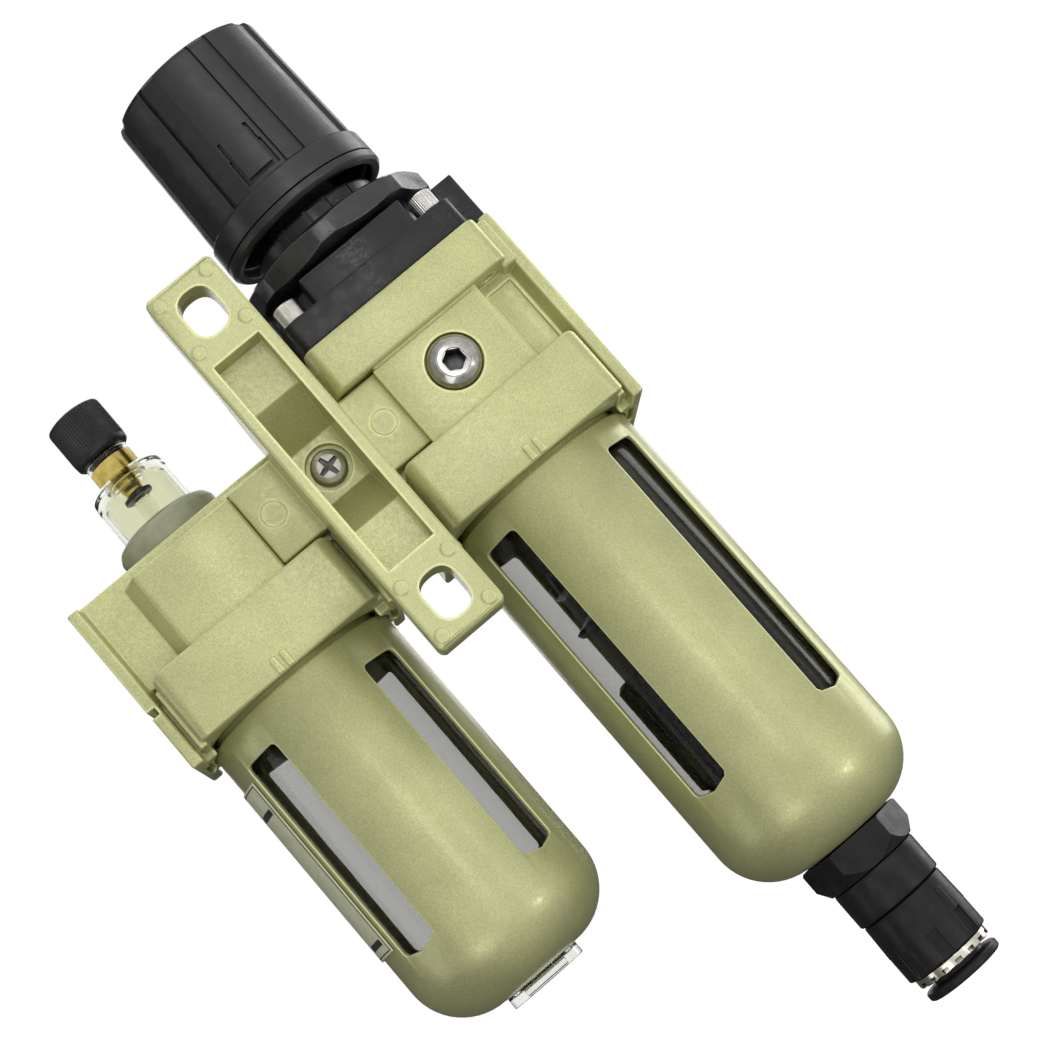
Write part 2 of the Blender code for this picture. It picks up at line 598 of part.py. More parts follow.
def bracket():
    face, pad = -BACK, -BACK + PLATE_DEEP
    half = [(face, PLATE_Z), (pad, PLATE_Z), (pad, 22.0), (WING_Y[0], 14.0), (WING_Y[0], WING_Z), (WING_Y[1], WING_Z)]
    outline = half + [(y, -z) for y, z in half[::-1]]
    body = side_profile("bracket", outline, PLATE_X, PAINT)
    rounding = body.modifiers.new("rounded_edges", "BEVEL")
    rounding.width = 0.0007
    rounding.segments = 2
    rounding.limit_method = "ANGLE"
    rounding.angle_limit = math.radians(50)
    join(body, box("bracket_wings", (-WING_X, WING_X), WING_Y, (-WING_Z, WING_Z), UNIT, bevel=0.4))
    shallow = face + 6.8
    pocket = [(face - 1, 26.0), (shallow, 26.0), (shallow, 15.0), (-21.5, 6.2)]
    pocket_outline = pocket + [(y, -z) for y, z in pocket[::-1]]
    cut(body, side_profile("bracket_pocket", pocket_outline, 5.6, PAINT))
    for side in (-1, 1):
        cut(body, *slot_cutter(f"bracket_slot{side}", side * SLOT_Z, (face - 2, pad + 2)))
    cut(body, along_y("bracket_screw_hole", 2.3, (-23, -14), UNIT, steps=SMALL),
        along_y("bracket_screw_seat", 4.8, (-22, -19.9), UNIT))


def bracket_screw(name, side):
    """A pan-head cross-recess screw: -1 is behind, through the bracket, +1 is in front, through the clamp."""
    tilt = 90 if side < 0 else -90
    seat = 20.3 if side < 0 else 21.0
    screw = turned(
        name,
        [(0, seat + 2.2), (2.6, seat + 2.1), (3.8, seat + 1.2), (4.1, seat), (2.0, seat), (2.0, 9.2), (0, 9.2)],
        UNIT, STEEL, ROUND, lie=(tilt, 0, 0),
    )
    long, narrow = (-2.2, 2.2), (-0.45, 0.45)
    y = sorted((side * (seat + 0.9), side * 26))
    cut(screw, box(f"{name}_recess_across", long, y, narrow, UNIT), box(f"{name}_recess_down", narrow, y, long, UNIT))


def spacer():
    body = box("spacer", (-5.4, 5.4), (-14.7, 14.7), (-WING_Z, WING_Z), UNIT, bevel=0.4)
    cut(
        body,
        along_x("spacer_bore", PORT_R, (-7, 7), UNIT),
        along_y("spacer_rear_thread", 2.3, (-16, -8.4), UNIT, steps=SMALL),
        along_y("spacer_front_thread", 2.3, (8.4, 16), UNIT, steps=SMALL),
    )
    for side in (-1, 1):
        groove = ring(f"spacer_groove{side}", 11.0, 7.0, sorted((side * 4.2, side * 7)), UNIT, PAINT, ROUND,
                      lie=(0, 90, 0))
        cut(body, groove)
        o_ring(f"spacer_seal_{'inlet' if side > 0 else 'outlet'}", 9.2, 0.55, side * 4.85, UNIT, lie=(0, 90, 0))


def clamp():
    body = box("clamp", (-WING_X, WING_X), (-WING_Y[1], -WING_Y[0]), (-WING_Z, WING_Z), UNIT, bevel=0.4)
    cut(body, along_y("clamp_screw_hole", 2.3, (14, 23), UNIT, steps=SMALL))


# ---- lubricator head and bowl ----
def sight_group():
    turned(
        "sight_dome_ring",
        [(9.0, 19.0), (10.9, 19.0), (RING_R, 18.2), (RING_R, LUB_TOP + GAP), (9.0, LUB_TOP + GAP)],
        LUB, RING_GREY, ROUND,
    )
    turned(
        "sight_dome",
        [(4.95, CAP_BOTTOM - 1.0), (4.95, 30.9), (7.4, 30.4), (8.3, 29.4), (DOME_R, 27.8), (DOME_R, 9.0), (7.0, 9.0),
         (7.0, 27.6), (4.35, 29.0), (4.35, CAP_BOTTOM - 1.0)],
        LUB, CLEAR, ROUND,
    )
    turned(
        "drip_insert",
        [(1.1, CAP_BOTTOM + 0.4), (4.05, CAP_BOTTOM + 0.4), (4.05, 29.8), (2.4, 29.4), (2.4, 25.0), (1.1, 24.6)],
        LUB, BRASS, ROUND,
    )
    rod("drip_needle", 0.8, (26.0, 42.4), LUB, STEEL, SMALL)
    turned(
        "drip_cap",
        [(0, CAP_TOP), (5.5, CAP_TOP), (CAP_R, CAP_TOP - 0.7), (CAP_R, CAP_BOTTOM + 1.0), (5.6, CAP_BOTTOM + 0.7),
         (1.15, CAP_BOTTOM + 0.7), (1.15, 43.6), (0, 43.6)],
        LUB, BLACK, ROUND,
    )
    turned(
        "drip_tube",
        [(1.0, 23.8), (1.9, 23.8), (1.9, 13.0), (3.6, 12.0), (3.6, 9.3), (1.0, 9.3)],
        LUB, CLEAR, SMALL,
    )
    plug = turned(
        "filler_plug",
        [(0, 14.0), (4.6, 14.0), (5.4, 13.2), (5.4, LUB_TOP + GAP), (4.0, LUB_TOP + GAP), (4.0, 3.6), (0, 3.6)],
        LUB, STEEL, ROUND, at=(-17.5, 9.5, 0),
    )
    cut(plug, prism("filler_socket", 6, 2.6, (11.5, 16), LUB, STEEL, at=(-17.5, 9.5)))


def oil_parts():
    ring("siphon_tube", 1.9, 1.2, (-88.0, -10.0), LUB, CLEAR, SMALL, at=(0, 11.0, 0))
    turned(
        "siphon_strainer",
        [(0, -88.6), (2.3, -88.6), (2.3, -80.0), (4.0, -80.0), (4.0, -91.0), (0, -91.0)],
        LUB, BRASS, SMALL, at=(0, 11.0, 0),
    )
    bm = bmesh.new()
    bmesh.ops.create_uvsphere(bm, u_segments=10, v_segments=6, radius=1.5)
    place("check_ball", mesh_of("check_ball", bm), LUB, STEEL, (0, 11.0, -7.5))
    flap = prism("flow_damper", ROUND, DAMPER_R, (-0.5, 0.5), LUB, RUBBER, (DAMPER_X, DAMPER_HINGE_Y), lie=(0, 90, 0))
    flap.data.transform(Matrix.Translation((0, -DAMPER_HINGE_Y * MM, 0)))


def lubricator_bowl_group():
    boss_r, boss_bottom = 8.8, -104.4
    floor = [(boss_r, LUB_BOWL_BOTTOM), (boss_r, boss_bottom), (0, boss_bottom), (0, LUB_BOWL_BOTTOM + BOWL_WALL)]
    bowl = turned("lubricator_bowl", bowl_profile(LUB_BOWL_BOTTOM, BOWL_CORNER, floor), LUB, CLEAR, LARGE)
    cut(bowl, box("bowl_key_slot", (-1.0, 1.0), (-10, 10), (-106, -103.0), LUB))
    o_ring("lubricator_bowl_seal", BOWL_R - 0.75, 0.55, -18.0, LUB)
    guard("lubricator_bowl_guard", LUB, LUB_GUARD_BOTTOM, 9.2, LUB_WINDOW, LUB_WINDOW_WIDE, LUB_WINDOW_TURN)


def oil_level_label():
    """A thin film on the guard, bent round it, between the two side windows."""
    radius, thick = GUARD_R + GAP, 0.25
    first, last, steps = -110.0, -58.5, 8
    low, high = -80.0, -37.0
    bm = bmesh.new()
    angles = [math.radians(first + (last - first) * k / steps) for k in range(steps + 1)]
    rows = []
    for r in (radius, radius + thick):
        for z in (low, high):
            rows.append([bm.verts.new((r * math.sin(a), -r * math.cos(a), z)) for a in angles])
    inner_low, inner_high, outer_low, outer_high = rows
    strips = ((outer_low, outer_high), (outer_high, inner_high), (inner_high, inner_low), (inner_low, outer_low))
    for lower, upper in strips:
        for k in range(steps):
            bm.faces.new((lower[k], lower[k + 1], upper[k + 1], upper[k]))
    for k in (0, steps):
        bm.faces.new((inner_low[k], outer_low[k], outer_high[k], inner_high[k]))
    bmesh.ops.recalc_face_normals(bm, faces=bm.faces)
    place("oil_level_label", mesh_of("oil_level_label", bm), LUB, LABEL)


filter_regulator_body()
bonnet()
bonnet_screws()
panel_nut()
knob()
regulator_inside()
filter_stack()
filter_bowl_group()
drain_group()
gauge_plug("gauge_plug_rear", -1)
gauge_plug("gauge_plug_front", 1)
bracket()
bracket_screw("bracket_screw", -1)
clamp()
bracket_screw("clamp_screw", 1)
spacer()
lubricator_body()
sight_group()
oil_parts()
lubricator_bowl_group()
oil_level_label()
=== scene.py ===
"""Looks of the filter regulator lubricator: fine surfaces and materials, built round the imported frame.

Every piece is modelled in millimetres about the axis of its module, with +Z up and the bracket's wall side at -Y,
and is then placed in the row frame in metres. Angles round an axis are in degrees from -Y towards +X.
"""

import json
import math

import bmesh
import bpy
from mathutils import Matrix, Vector

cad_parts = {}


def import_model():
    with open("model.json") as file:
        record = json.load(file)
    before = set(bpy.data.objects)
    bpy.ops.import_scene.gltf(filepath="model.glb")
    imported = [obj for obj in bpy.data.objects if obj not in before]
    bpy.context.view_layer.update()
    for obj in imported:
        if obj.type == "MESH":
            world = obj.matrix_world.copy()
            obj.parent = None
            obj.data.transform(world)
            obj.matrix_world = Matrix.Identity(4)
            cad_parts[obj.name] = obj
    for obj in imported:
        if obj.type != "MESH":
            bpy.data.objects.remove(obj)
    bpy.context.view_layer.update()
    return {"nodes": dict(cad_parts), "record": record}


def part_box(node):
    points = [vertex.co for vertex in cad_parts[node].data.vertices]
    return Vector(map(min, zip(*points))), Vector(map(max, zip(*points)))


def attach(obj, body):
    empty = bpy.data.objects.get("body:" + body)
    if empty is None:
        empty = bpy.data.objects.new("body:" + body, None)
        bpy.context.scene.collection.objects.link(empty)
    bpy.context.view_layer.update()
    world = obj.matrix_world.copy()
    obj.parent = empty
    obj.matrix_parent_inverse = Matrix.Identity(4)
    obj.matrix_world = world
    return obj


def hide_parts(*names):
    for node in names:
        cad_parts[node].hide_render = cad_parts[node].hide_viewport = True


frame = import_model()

MM = 0.001
RECORD = frame["record"]
BODY_OF = {node: body for body, nodes in RECORD["behaviour"]["bodies"].items() for node in nodes}


def middle(node):
    low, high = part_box(node)
    return (low + high) / 2


# ---- driving places and sizes, in millimetres, from the frame ----
BACK = middle("pressure_knob").y / MM               # wall face to the modules' centre plane
REG = Vector((middle("pressure_knob").x / MM, BACK, 0))
LUB = Vector((middle("drip_cap").x / MM, BACK, 0))
UNIT = Vector((0, BACK, 0))


def span(node, axis="z"):
    """A CAD node's lowest and highest place along an axis of the row frame, in millimetres."""
    low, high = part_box(node)
    index = "xyz".index(axis)
    return low[index] / MM, high[index] / MM


def radius_of(node):
    low, high = span(node, "x")
    return (high - low) / 2


FINE, ROUND, COARSE = 192, 96, 48                   # steps round a turned piece, by its size
EDGE = 0.35                                         # usual rounding of a moulded edge
HALF = 26.3                                         # a module's axis to its port face
PORT_R = 7.6
FACE_Y = 22.0
BLOCK_Y = 24.0
BLOCK_X = 21.9
LOWER_X = 22.8
REG_TOP, LUB_TOP = span("filter_regulator_body")[1], span("lubricator_body")[1]
LOWER_TOP, LOWER_BOTTOM, FLANGE_BOTTOM = -9.9, -25.9, span("lubricator_body")[0]


# ---- modelling helpers ----
def as_object(name, bm):
    bmesh.ops.recalc_face_normals(bm, faces=bm.faces)
    mesh = bpy.data.meshes.new(name)
    bm.to_mesh(mesh)
    bm.free()
    made = bpy.data.objects.new(name, mesh)
    bpy.context.scene.collection.objects.link(made)
    return made


def moved(obj, at=(0, 0, 0), turn=0.0, tilt=None):
    """Turns an object about Z, after an optional (angle, axis) tilt, and then shifts it, all in its mesh."""
    matrix = Matrix.Translation(at) @ Matrix.Rotation(math.radians(turn), 4, "Z")
    if tilt:
        matrix = matrix @ Matrix.Rotation(math.radians(tilt[0]), 4, tilt[1])
    obj.data.transform(matrix)
    return obj


def soft_edges(bm, radius, sharper_than, segments):
    edges = [e for e in bm.edges if len(e.link_faces) == 2 and e.calc_face_angle(0.0) > sharper_than]
    bmesh.ops.bevel(bm, geom=edges, offset=radius, segments=segments, profile=0.5, affect="EDGES")


def block(x, y, z, edge=EDGE, upright=0.0):
    """A box from three (low, high) pairs, with every edge rounded. upright is the radius of the edges along Z."""
    bm = bmesh.new()
    bmesh.ops.create_cube(bm, size=1.0)
    size = [high - low for low, high in (x, y, z)]
    centre = [(high + low) / 2 for low, high in (x, y, z)]
    bmesh.ops.transform(bm, matrix=Matrix.Translation(centre) @ Matrix.Diagonal((*size, 1)), verts=bm.verts)
    if upright:
        edges = [e for e in bm.edges if abs(e.verts[0].co.z - e.verts[1].co.z) > 0.5 * size[2]]
        bmesh.ops.bevel(bm, geom=edges, offset=upright, segments=8, profile=0.5, affect="EDGES")
    if edge:
        soft_edges(bm, edge, 0.6, 3)
    return as_object("block", bm)


def rounded(outline, radius, closed=True, segments=4):
    """An outline with its corners turned into arcs. A corner is (x, y) or (x, y, its own radius)."""
    count = len(outline)
    made = []
    for i, corner in enumerate(outline):
        here = Vector(corner[:2])
        own = corner[2] if len(corner) > 2 else radius
        if own <= 0 or (not closed and i in (0, count - 1)):
            made.append(tuple(here))
            continue
        before = Vector(outline[i - 1][:2]) - here
        after = Vector(outline[(i + 1) % count][:2]) - here
        angle = before.angle(after, math.pi)
        if angle > math.radians(168) or angle < math.radians(3):
            made.append(tuple(here))
            continue
        reach = min(own / math.tan(angle / 2), 0.48 * before.length, 0.48 * after.length)
        start, end = here + before.normalized() * reach, here + after.normalized() * reach
        for k in range(segments + 1):
            t = k / segments
            made.append(tuple((1 - t) ** 2 * start + 2 * t * (1 - t) * here + t ** 2 * end))
    return made


def plate(outline, low, high, axis="z", edge=EDGE, sharper_than=0.6):
    """A flat outline drawn out from low to high. axis z takes (x, y), axis y takes (x, z) and axis x takes (y, z)."""
    bm = bmesh.new()
    place = {"z": lambda a, b, c: (a, b, c), "y": lambda a, b, c: (a, c, b), "x": lambda a, b, c: (c, a, b)}[axis]
    near = [bm.verts.new(place(a, b, low)) for a, b in outline]
    face = bm.faces.new(near)
    grown = bmesh.ops.extrude_face_region(bm, geom=[face])["geom"]
    shift = Vector(place(0, 0, high)) - Vector(place(0, 0, low))
    bmesh.ops.translate(bm, vec=shift, verts=[v for v in grown if isinstance(v, bmesh.types.BMVert)])
    bmesh.ops.recalc_face_normals(bm, faces=bm.faces)
    if edge:
        soft_edges(bm, edge, sharper_than, 3)
    return as_object("plate", bm)


def lathe(profile, steps=ROUND, edge=0.0, shape=None):
    """A turned piece from a closed (radius, height) profile. shape(radius, height, angle) can change the radius."""
    on_axis = profile[0][0] == 0 and profile[-1][0] == 0
    points = rounded(profile, edge, closed=not on_axis)
    bm = bmesh.new()
    axis_points = {}
    columns = []
    for k in range(steps):
        angle = 2 * math.pi * k / steps
        column = []
        for i, (radius, height) in enumerate(points):
            if radius < 1e-6:
                if i not in axis_points:
                    axis_points[i] = bm.verts.new((0, 0, height))
                column.append(axis_points[i])
                continue
            r = shape(radius, height, math.degrees(angle)) if shape else radius
            column.append(bm.verts.new((r * math.sin(angle), -r * math.cos(angle), height)))
        columns.append(column)
    pairs = [(i, i + 1) for i in range(len(points) - 1)] + ([] if on_axis else [(len(points) - 1, 0)])
    for k, column in enumerate(columns):
        other = columns[(k + 1) % steps]
        for i, j in pairs:
            corners = []
            for vert in (column[i], column[j], other[j], other[i]):
                if vert not in corners:
                    corners.append(vert)
            if len(corners) > 2:
                bm.faces.new(corners)
    return as_object("lathe", bm)


def rod(radius, low, high, at=(0, 0, 0), axis="z", steps=ROUND, edge=0.0):
    """A round bar from low to high along an axis through at."""
    made = lathe([(0, high), (radius, high), (radius, low), (0, low)], steps, edge)
    tilt = {"z": None, "x": (90, "Y"), "y": (-90, "X")}[axis]
    return moved(made, at, 0, tilt)


def apply_all(obj):
    graph = bpy.context.evaluated_depsgraph_get()
    mesh = bpy.data.meshes.new_from_object(obj.evaluated_get(graph))
    obj.modifiers.clear()
    obj.data = mesh
    return obj


def combine(target, operation, tools):
    for tool in tools:
        boolean = target.modifiers.new("combine", "BOOLEAN")
        boolean.operation = operation
        boolean.solver = "EXACT"
        boolean.object = tool
    apply_all(target)
    for tool in tools:
        bpy.data.objects.remove(tool, do_unlink=True)
    return target


def join(target, *tools):
    return combine(target, "UNION", tools)


def cut(target, *tools):
    return combine(target, "DIFFERENCE", tools)


def meet(target, *tools):
    return combine(target, "INTERSECT", tools)


def gather(*objs):
    """Separate shapes as one object."""
    bm = bmesh.new()
    for obj in objs:
        bm.from_mesh(obj.data)
        bpy.data.objects.remove(obj, do_unlink=True)
    return as_object("gathered", bm)


def ring_of(count, make, start=0.0):
    """count copies of what make() gives, turned evenly about Z, as one object."""
    return gather(*[moved(make(), turn=start + 360 * k / count) for k in range(count)])


def publish(obj, name, origin, skin, node=None, body=None, sharp=42, weighted=False):
    """Places a finished piece in the row frame. It stands for node, or else rides on body as an extra."""
    obj.name = name
    obj.data.transform(Matrix.Translation(origin * MM) @ Matrix.Diagonal((MM, MM, MM, 1)))
    obj.data.materials.clear()
    obj.data.materials.append(skin)
    obj.data.shade_smooth()
    obj.data.set_sharp_from_angle(angle=math.radians(sharp))
    if weighted:
        normals = obj.modifiers.new("weighted_normals", "WEIGHTED_NORMAL")
        normals.keep_sharp = True
    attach(obj, BODY_OF[node] if node else body)
    if node:
        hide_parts(node)
    return obj


# ---- materials ----
class Skin:
    """A Principled material with texture coordinates in millimetres of the row frame."""

    def __init__(self, name, **values):
        self.material = bpy.data.materials.new(name)
        self.material.use_nodes = True
        self.tree = self.material.node_tree
        self.shader = self.tree.nodes["Principled BSDF"]
        for socket, value in values.items():
            self.shader.inputs[socket.replace("_", " ")].default_value = value
        coordinates = self.tree.nodes.new("ShaderNodeTexCoord")
        self.mapping = self.node("ShaderNodeMapping", Vector=coordinates.outputs["Object"])
        self.mapping.inputs["Scale"].default_value = (1 / MM, 1 / MM, 1 / MM)

    def node(self, kind, **inputs):
        made = self.tree.nodes.new(kind)
        for socket, value in inputs.items():
            self.feed(made.inputs[socket.replace("_", " ")], value)
        return made

    def feed(self, socket, value):
        if isinstance(value, bpy.types.NodeSocket):
            self.tree.links.new(value, socket)
        else:
            socket.default_value = value

    def noise(self, scale, detail=2.0, roughness=0.5, distortion=0.0, stretch=None):
        vector = self.mapping.outputs["Vector"]
        if stretch:
            vector = self.node("ShaderNodeMapping", Vector=vector, Scale=stretch).outputs["Vector"]
        made = self.node("ShaderNodeTexNoise", Vector=vector, Scale=scale, Detail=detail, Roughness=roughness,
                         Distortion=distortion)
        return made.outputs["Fac"]

    def ramp(self, factor, low, high, start=0.3, end=0.7):
        """Between two colours, or two numbers written as greys."""
        made = self.node("ShaderNodeValToRGB", Fac=factor)
        for element, position, value in zip(made.color_ramp.elements, (start, end), (low, high)):
            element.position = position
            element.color = (*value, 1) if isinstance(value, tuple) else (value, value, value, 1)
        return made.outputs["Color"]

    def mix(self, factor, first, second, blend="MIX"):
        made = self.tree.nodes.new("ShaderNodeMix")
        made.data_type = "RGBA"
        made.blend_type = blend
        for index, value in ((0, factor), (6, first), (7, second)):
            self.feed(made.inputs[index], value)
        return made.outputs[2]

    def math(self, operation, first, second=0.0, clamp=False):
        made = self.tree.nodes.new("ShaderNodeMath")
        made.operation = operation
        made.use_clamp = clamp
        self.feed(made.inputs[0], first)
        self.feed(made.inputs[1], second)
        return made.outputs[0]

    def bump(self, height, depth, normal=None):
        """depth is the relief's height in millimetres."""
        made = self.node("ShaderNodeBump", Height=height, Strength=1.0, Distance=depth * MM)
        if normal:
            self.feed(made.inputs["Normal"], normal)
        return made.outputs["Normal"]

    def edges(self, radius):
        """(a rounded normal, how near a point is to an edge from 0 to 1)."""
        bevel = self.tree.nodes.new("ShaderNodeBevel")
        bevel.samples = 6
        bevel.inputs["Radius"].default_value = radius * MM
        geometry = self.tree.nodes.new("ShaderNodeNewGeometry")
        dot = self.tree.nodes.new("ShaderNodeVectorMath")
        dot.operation = "DOT_PRODUCT"
        self.feed(dot.inputs[0], bevel.outputs["Normal"])
        self.feed(dot.inputs[1], geometry.outputs["Normal"])
        away = self.math("SUBTRACT", 1.0, dot.outputs["Value"])
        return bevel.outputs["Normal"], self.math("MULTIPLY", away, 9.0, clamp=True)

    def nearness(self, reach, inside=False):
        """From 0 to 1, how much of the piece itself lies within reach: in a recess, or with inside, past an edge."""
        made = self.tree.nodes.new("ShaderNodeAmbientOcclusion")
        made.samples = 6
        made.inside = inside
        made.only_local = True
        made.inputs["Distance"].default_value = reach * MM
        return self.math("SUBTRACT", 1.0, made.outputs["AO"])

    def set(self, **links):
        for socket, value in links.items():
            self.feed(self.shader.inputs[socket.replace("_", " ")], value)
        return self.material


def enamel(name, dark, light, grain, edge_radius):
    """Champagne-green metallic enamel: fine flakes, slow mottling, and a painted highlight that turns it pale along
    outer edges.
    """
    skin = Skin(name, Metallic=0.42, Coat_Weight=0.25, Coat_Roughness=0.14)
    flakes = skin.noise(grain, 3.0, 0.65)
    colour = skin.ramp(flakes, dark, light, 0.34, 0.68)
    mottling = skin.ramp(skin.noise(0.07, 3.0), 0.86, 1.0, 0.3, 0.65)
    colour = skin.mix(1.0, colour, mottling, "MULTIPLY")
    normal, near_edge = skin.edges(edge_radius)
    # painted highlight: the colour turns pale along outer edges, found from the bevel normal and from inside occlusion
    pale = tuple(min(1.0, 1.5 * channel) for channel in light)
    rim = skin.math("MULTIPLY", skin.nearness(edge_radius, inside=True), 2.6, clamp=True)
    edge_highlight = skin.math("MAXIMUM", skin.math("MULTIPLY", near_edge, 0.6), rim)
    colour = skin.mix(edge_highlight, colour, (*pale, 1))
    rough = skin.ramp(skin.noise(1.3, 2.0), 0.33, 0.47)
    relief = skin.bump(skin.noise(1.0, 3.0, 0.6), 0.03, normal)
    relief = skin.bump(flakes, 0.012, relief)
    return skin.set(Base_Color=colour, Roughness=rough, Normal=relief)


def black_plastic(name, rough, relief, grain=4.0, shine=0.5, base=(0.008, 0.0083, 0.0085), light=(0.017, 0.0175, 0.018)):
    """Moulded black polymer with a fine eroded texture and slow gloss changes."""
    skin = Skin(name, Specular_IOR_Level=shine)
    colour = skin.ramp(skin.noise(0.35, 4.0), base, light)
    gloss = skin.ramp(skin.noise(0.25, 5.0, 0.6), rough[0], rough[1])
    normal, near_edge = skin.edges(0.25)
    # painted highlight: the colour turns grey along edges
    colour = skin.mix(skin.math("MULTIPLY", near_edge, 0.5), colour, (0.07, 0.07, 0.07, 1))
    return skin.set(Base_Color=colour, Roughness=gloss, Normal=skin.bump(skin.noise(grain, 3.0, 0.7), relief, normal))


def swirled_plastic():
    """The bonnet's glass-filled polymer: glossier, with pale threadlike flow marks."""
    skin = Skin("bonnet_plastic", Specular_IOR_Level=0.34)
    flow = skin.noise(0.16, 7.0, 0.66, 2.6, (1.0, 1.0, 1.5))
    thread = skin.math("ABSOLUTE", skin.math("SUBTRACT", flow, 0.5))
    marks = skin.ramp(thread, 1.0, 0.0, 0.0, 0.022)
    patches = skin.ramp(skin.noise(0.11, 3.0), 0.0, 1.0, 0.5, 0.68)
    marks = skin.mix(1.0, marks, patches, "MULTIPLY")
    colour = skin.mix(marks, (0.012, 0.0125, 0.013, 1), (0.10, 0.10, 0.098, 1))
    gloss = skin.ramp(skin.noise(0.3, 5.0, 0.6), 0.2, 0.42)
    normal, near_edge = skin.edges(0.3)
    # painted highlight: the colour turns grey along edges
    colour = skin.mix(skin.math("MULTIPLY", near_edge, 0.5), colour, (0.09, 0.09, 0.09, 1))
    return skin.set(Base_Color=colour, Roughness=gloss, Normal=skin.bump(skin.noise(1.6, 4.0, 0.6), 0.012, normal))


def metal(name, dark, light, rough, scratches=(1.0, 1.0, 14.0)):
    """Plated or turned metal with fine tool marks, slow tarnish, and painted shade darkening its recesses."""
    skin = Skin(name, Metallic=1.0)
    tarnish = skin.noise(0.5, 4.0, 0.6)
    colour = skin.ramp(tarnish, dark, light)
    # painted shade: the colour darkens where the piece's own surfaces close round a point, in sockets, cross recesses
    # and slots
    recess_shade = skin.ramp(skin.nearness(1.4), 1.0, 0.10, 0.12, 0.62)
    colour = skin.mix(1.0, colour, recess_shade, "MULTIPLY")
    marks = skin.noise(1.6, 4.0, 0.6, 0.0, scratches)
    gloss = skin.ramp(marks, rough[0], rough[1])
    return skin.set(Base_Color=colour, Roughness=gloss, Normal=skin.bump(marks, 0.004))


def clear_plastic(name, tint, rough=0.04, ior=1.5):
    """Injection-moulded polycarbonate: slight flow haze and a faint ripple."""
    skin = Skin(name, Transmission_Weight=1.0, IOR=ior, Base_Color=(*tint, 1))
    gloss = skin.ramp(skin.noise(0.25, 4.0), rough * 0.5, rough * 2.0)
    return skin.set(Roughness=gloss, Normal=skin.bump(skin.noise(0.12, 2.0), 0.02))


def porous(name, dark, light):
    """Sintered beads."""
    skin = Skin(name)
    cells = skin.node("ShaderNodeTexVoronoi", Vector=skin.mapping.outputs["Vector"], Scale=2.4).outputs["Distance"]
    colour = skin.ramp(cells, light, dark, 0.1, 0.75)
    return skin.set(Base_Color=colour, Roughness=skin.ramp(cells, 0.75, 0.95), Normal=skin.bump(cells, 0.12))


def rubber():
    skin = Skin("rubber")
    dust = skin.noise(0.8, 5.0, 0.65)
    colour = skin.ramp(dust, (0.010, 0.010, 0.010), (0.030, 0.029, 0.028))
    return skin.set(Base_Color=colour, Roughness=skin.ramp(dust, 0.5, 0.75), Normal=skin.bump(dust, 0.02))


def satin_plastic(name, dark, light, rough):
    skin = Skin(name)
    cloud = skin.noise(0.4, 4.0)
    normal, near_edge = skin.edges(0.3)
    colour = skin.ramp(cloud, dark, light)
    # painted highlight: the colour turns paler along edges
    colour = skin.mix(skin.math("MULTIPLY", near_edge, 0.4), colour, (*(min(1, 1.4 * c) for c in light), 1))
    return skin.set(Base_Color=colour, Roughness=skin.ramp(cloud, *rough),
                    Normal=skin.bump(skin.noise(3.0, 3.0), 0.01, normal))


PAINT = enamel("cast_enamel", (0.45, 0.46, 0.20), (0.64, 0.65, 0.32), 3.2, 0.6)
SHEET_PAINT = enamel("sheet_enamel", (0.43, 0.44, 0.19), (0.58, 0.59, 0.30), 3.2, 0.4)
KNOB_BLACK = black_plastic("knob_plastic", (0.28, 0.44), 0.02, 3.0, 0.62)
NUT_BLACK = black_plastic("nut_plastic", (0.18, 0.34), 0.015, 3.0, 0.75)
BLACK = black_plastic("black_plastic", (0.28, 0.46), 0.012, 4.0, 0.2)
RIBBED_BLACK = black_plastic("cap_plastic", (0.3, 0.5), 0.01, 5.0, 0.4, (0.008, 0.008, 0.009), (0.016, 0.016, 0.017))
BONNET = swirled_plastic()
STEEL = metal("plated_steel", (0.56, 0.54, 0.49), (0.74, 0.73, 0.69), (0.14, 0.34))
PLUG_STEEL = metal("plug_steel", (0.34, 0.335, 0.31), (0.54, 0.53, 0.50), (0.10, 0.24), (1.0, 10.0, 1.0))
PAN_STEEL = metal("pan_steel", (0.50, 0.485, 0.43), (0.72, 0.70, 0.63), (0.40, 0.56))
# near-black steel for thin sheets set inside sockets and recesses: painted shade, not a darker metal
PAINTED_SHADE_STEEL = metal("painted_shade_steel", (0.05, 0.05, 0.048), (0.14, 0.135, 0.13), (0.3, 0.5))
NICKEL = metal("nickel", (0.62, 0.58, 0.47), (0.82, 0.79, 0.70), (0.10, 0.26))
BRASS = metal("brass", (0.46, 0.33, 0.07), (0.68, 0.53, 0.17), (0.12, 0.30))
CLEAR = clear_plastic("clear_polycarbonate", (0.60, 0.60, 0.59), 0.03, 1.25)
DOME_CLEAR = clear_plastic("sight_polycarbonate", (0.91, 0.92, 0.86), 0.07, 1.16)
DOME_TINT = clear_plastic("sleeve_polycarbonate", (0.91, 0.91, 0.80), 0.08, 1.15)
NUB_CLEAR = clear_plastic("nub_polycarbonate", (0.92, 0.93, 0.90), 0.03, 1.3)
RUBBER = rubber()
# the sintered media's colours are darkened to stand for the shade inside the closed guard: painted shade
SHADED_MEDIA = porous("sintered_media_shaded", (0.10, 0.10, 0.095), (0.30, 0.30, 0.285))
FLOAT = satin_plastic("float_plastic", (0.60, 0.60, 0.57), (0.74, 0.74, 0.71), (0.4, 0.6))
RING_GREY = satin_plastic("ring_plastic", (0.30, 0.315, 0.20), (0.38, 0.395, 0.26), (0.32, 0.5))


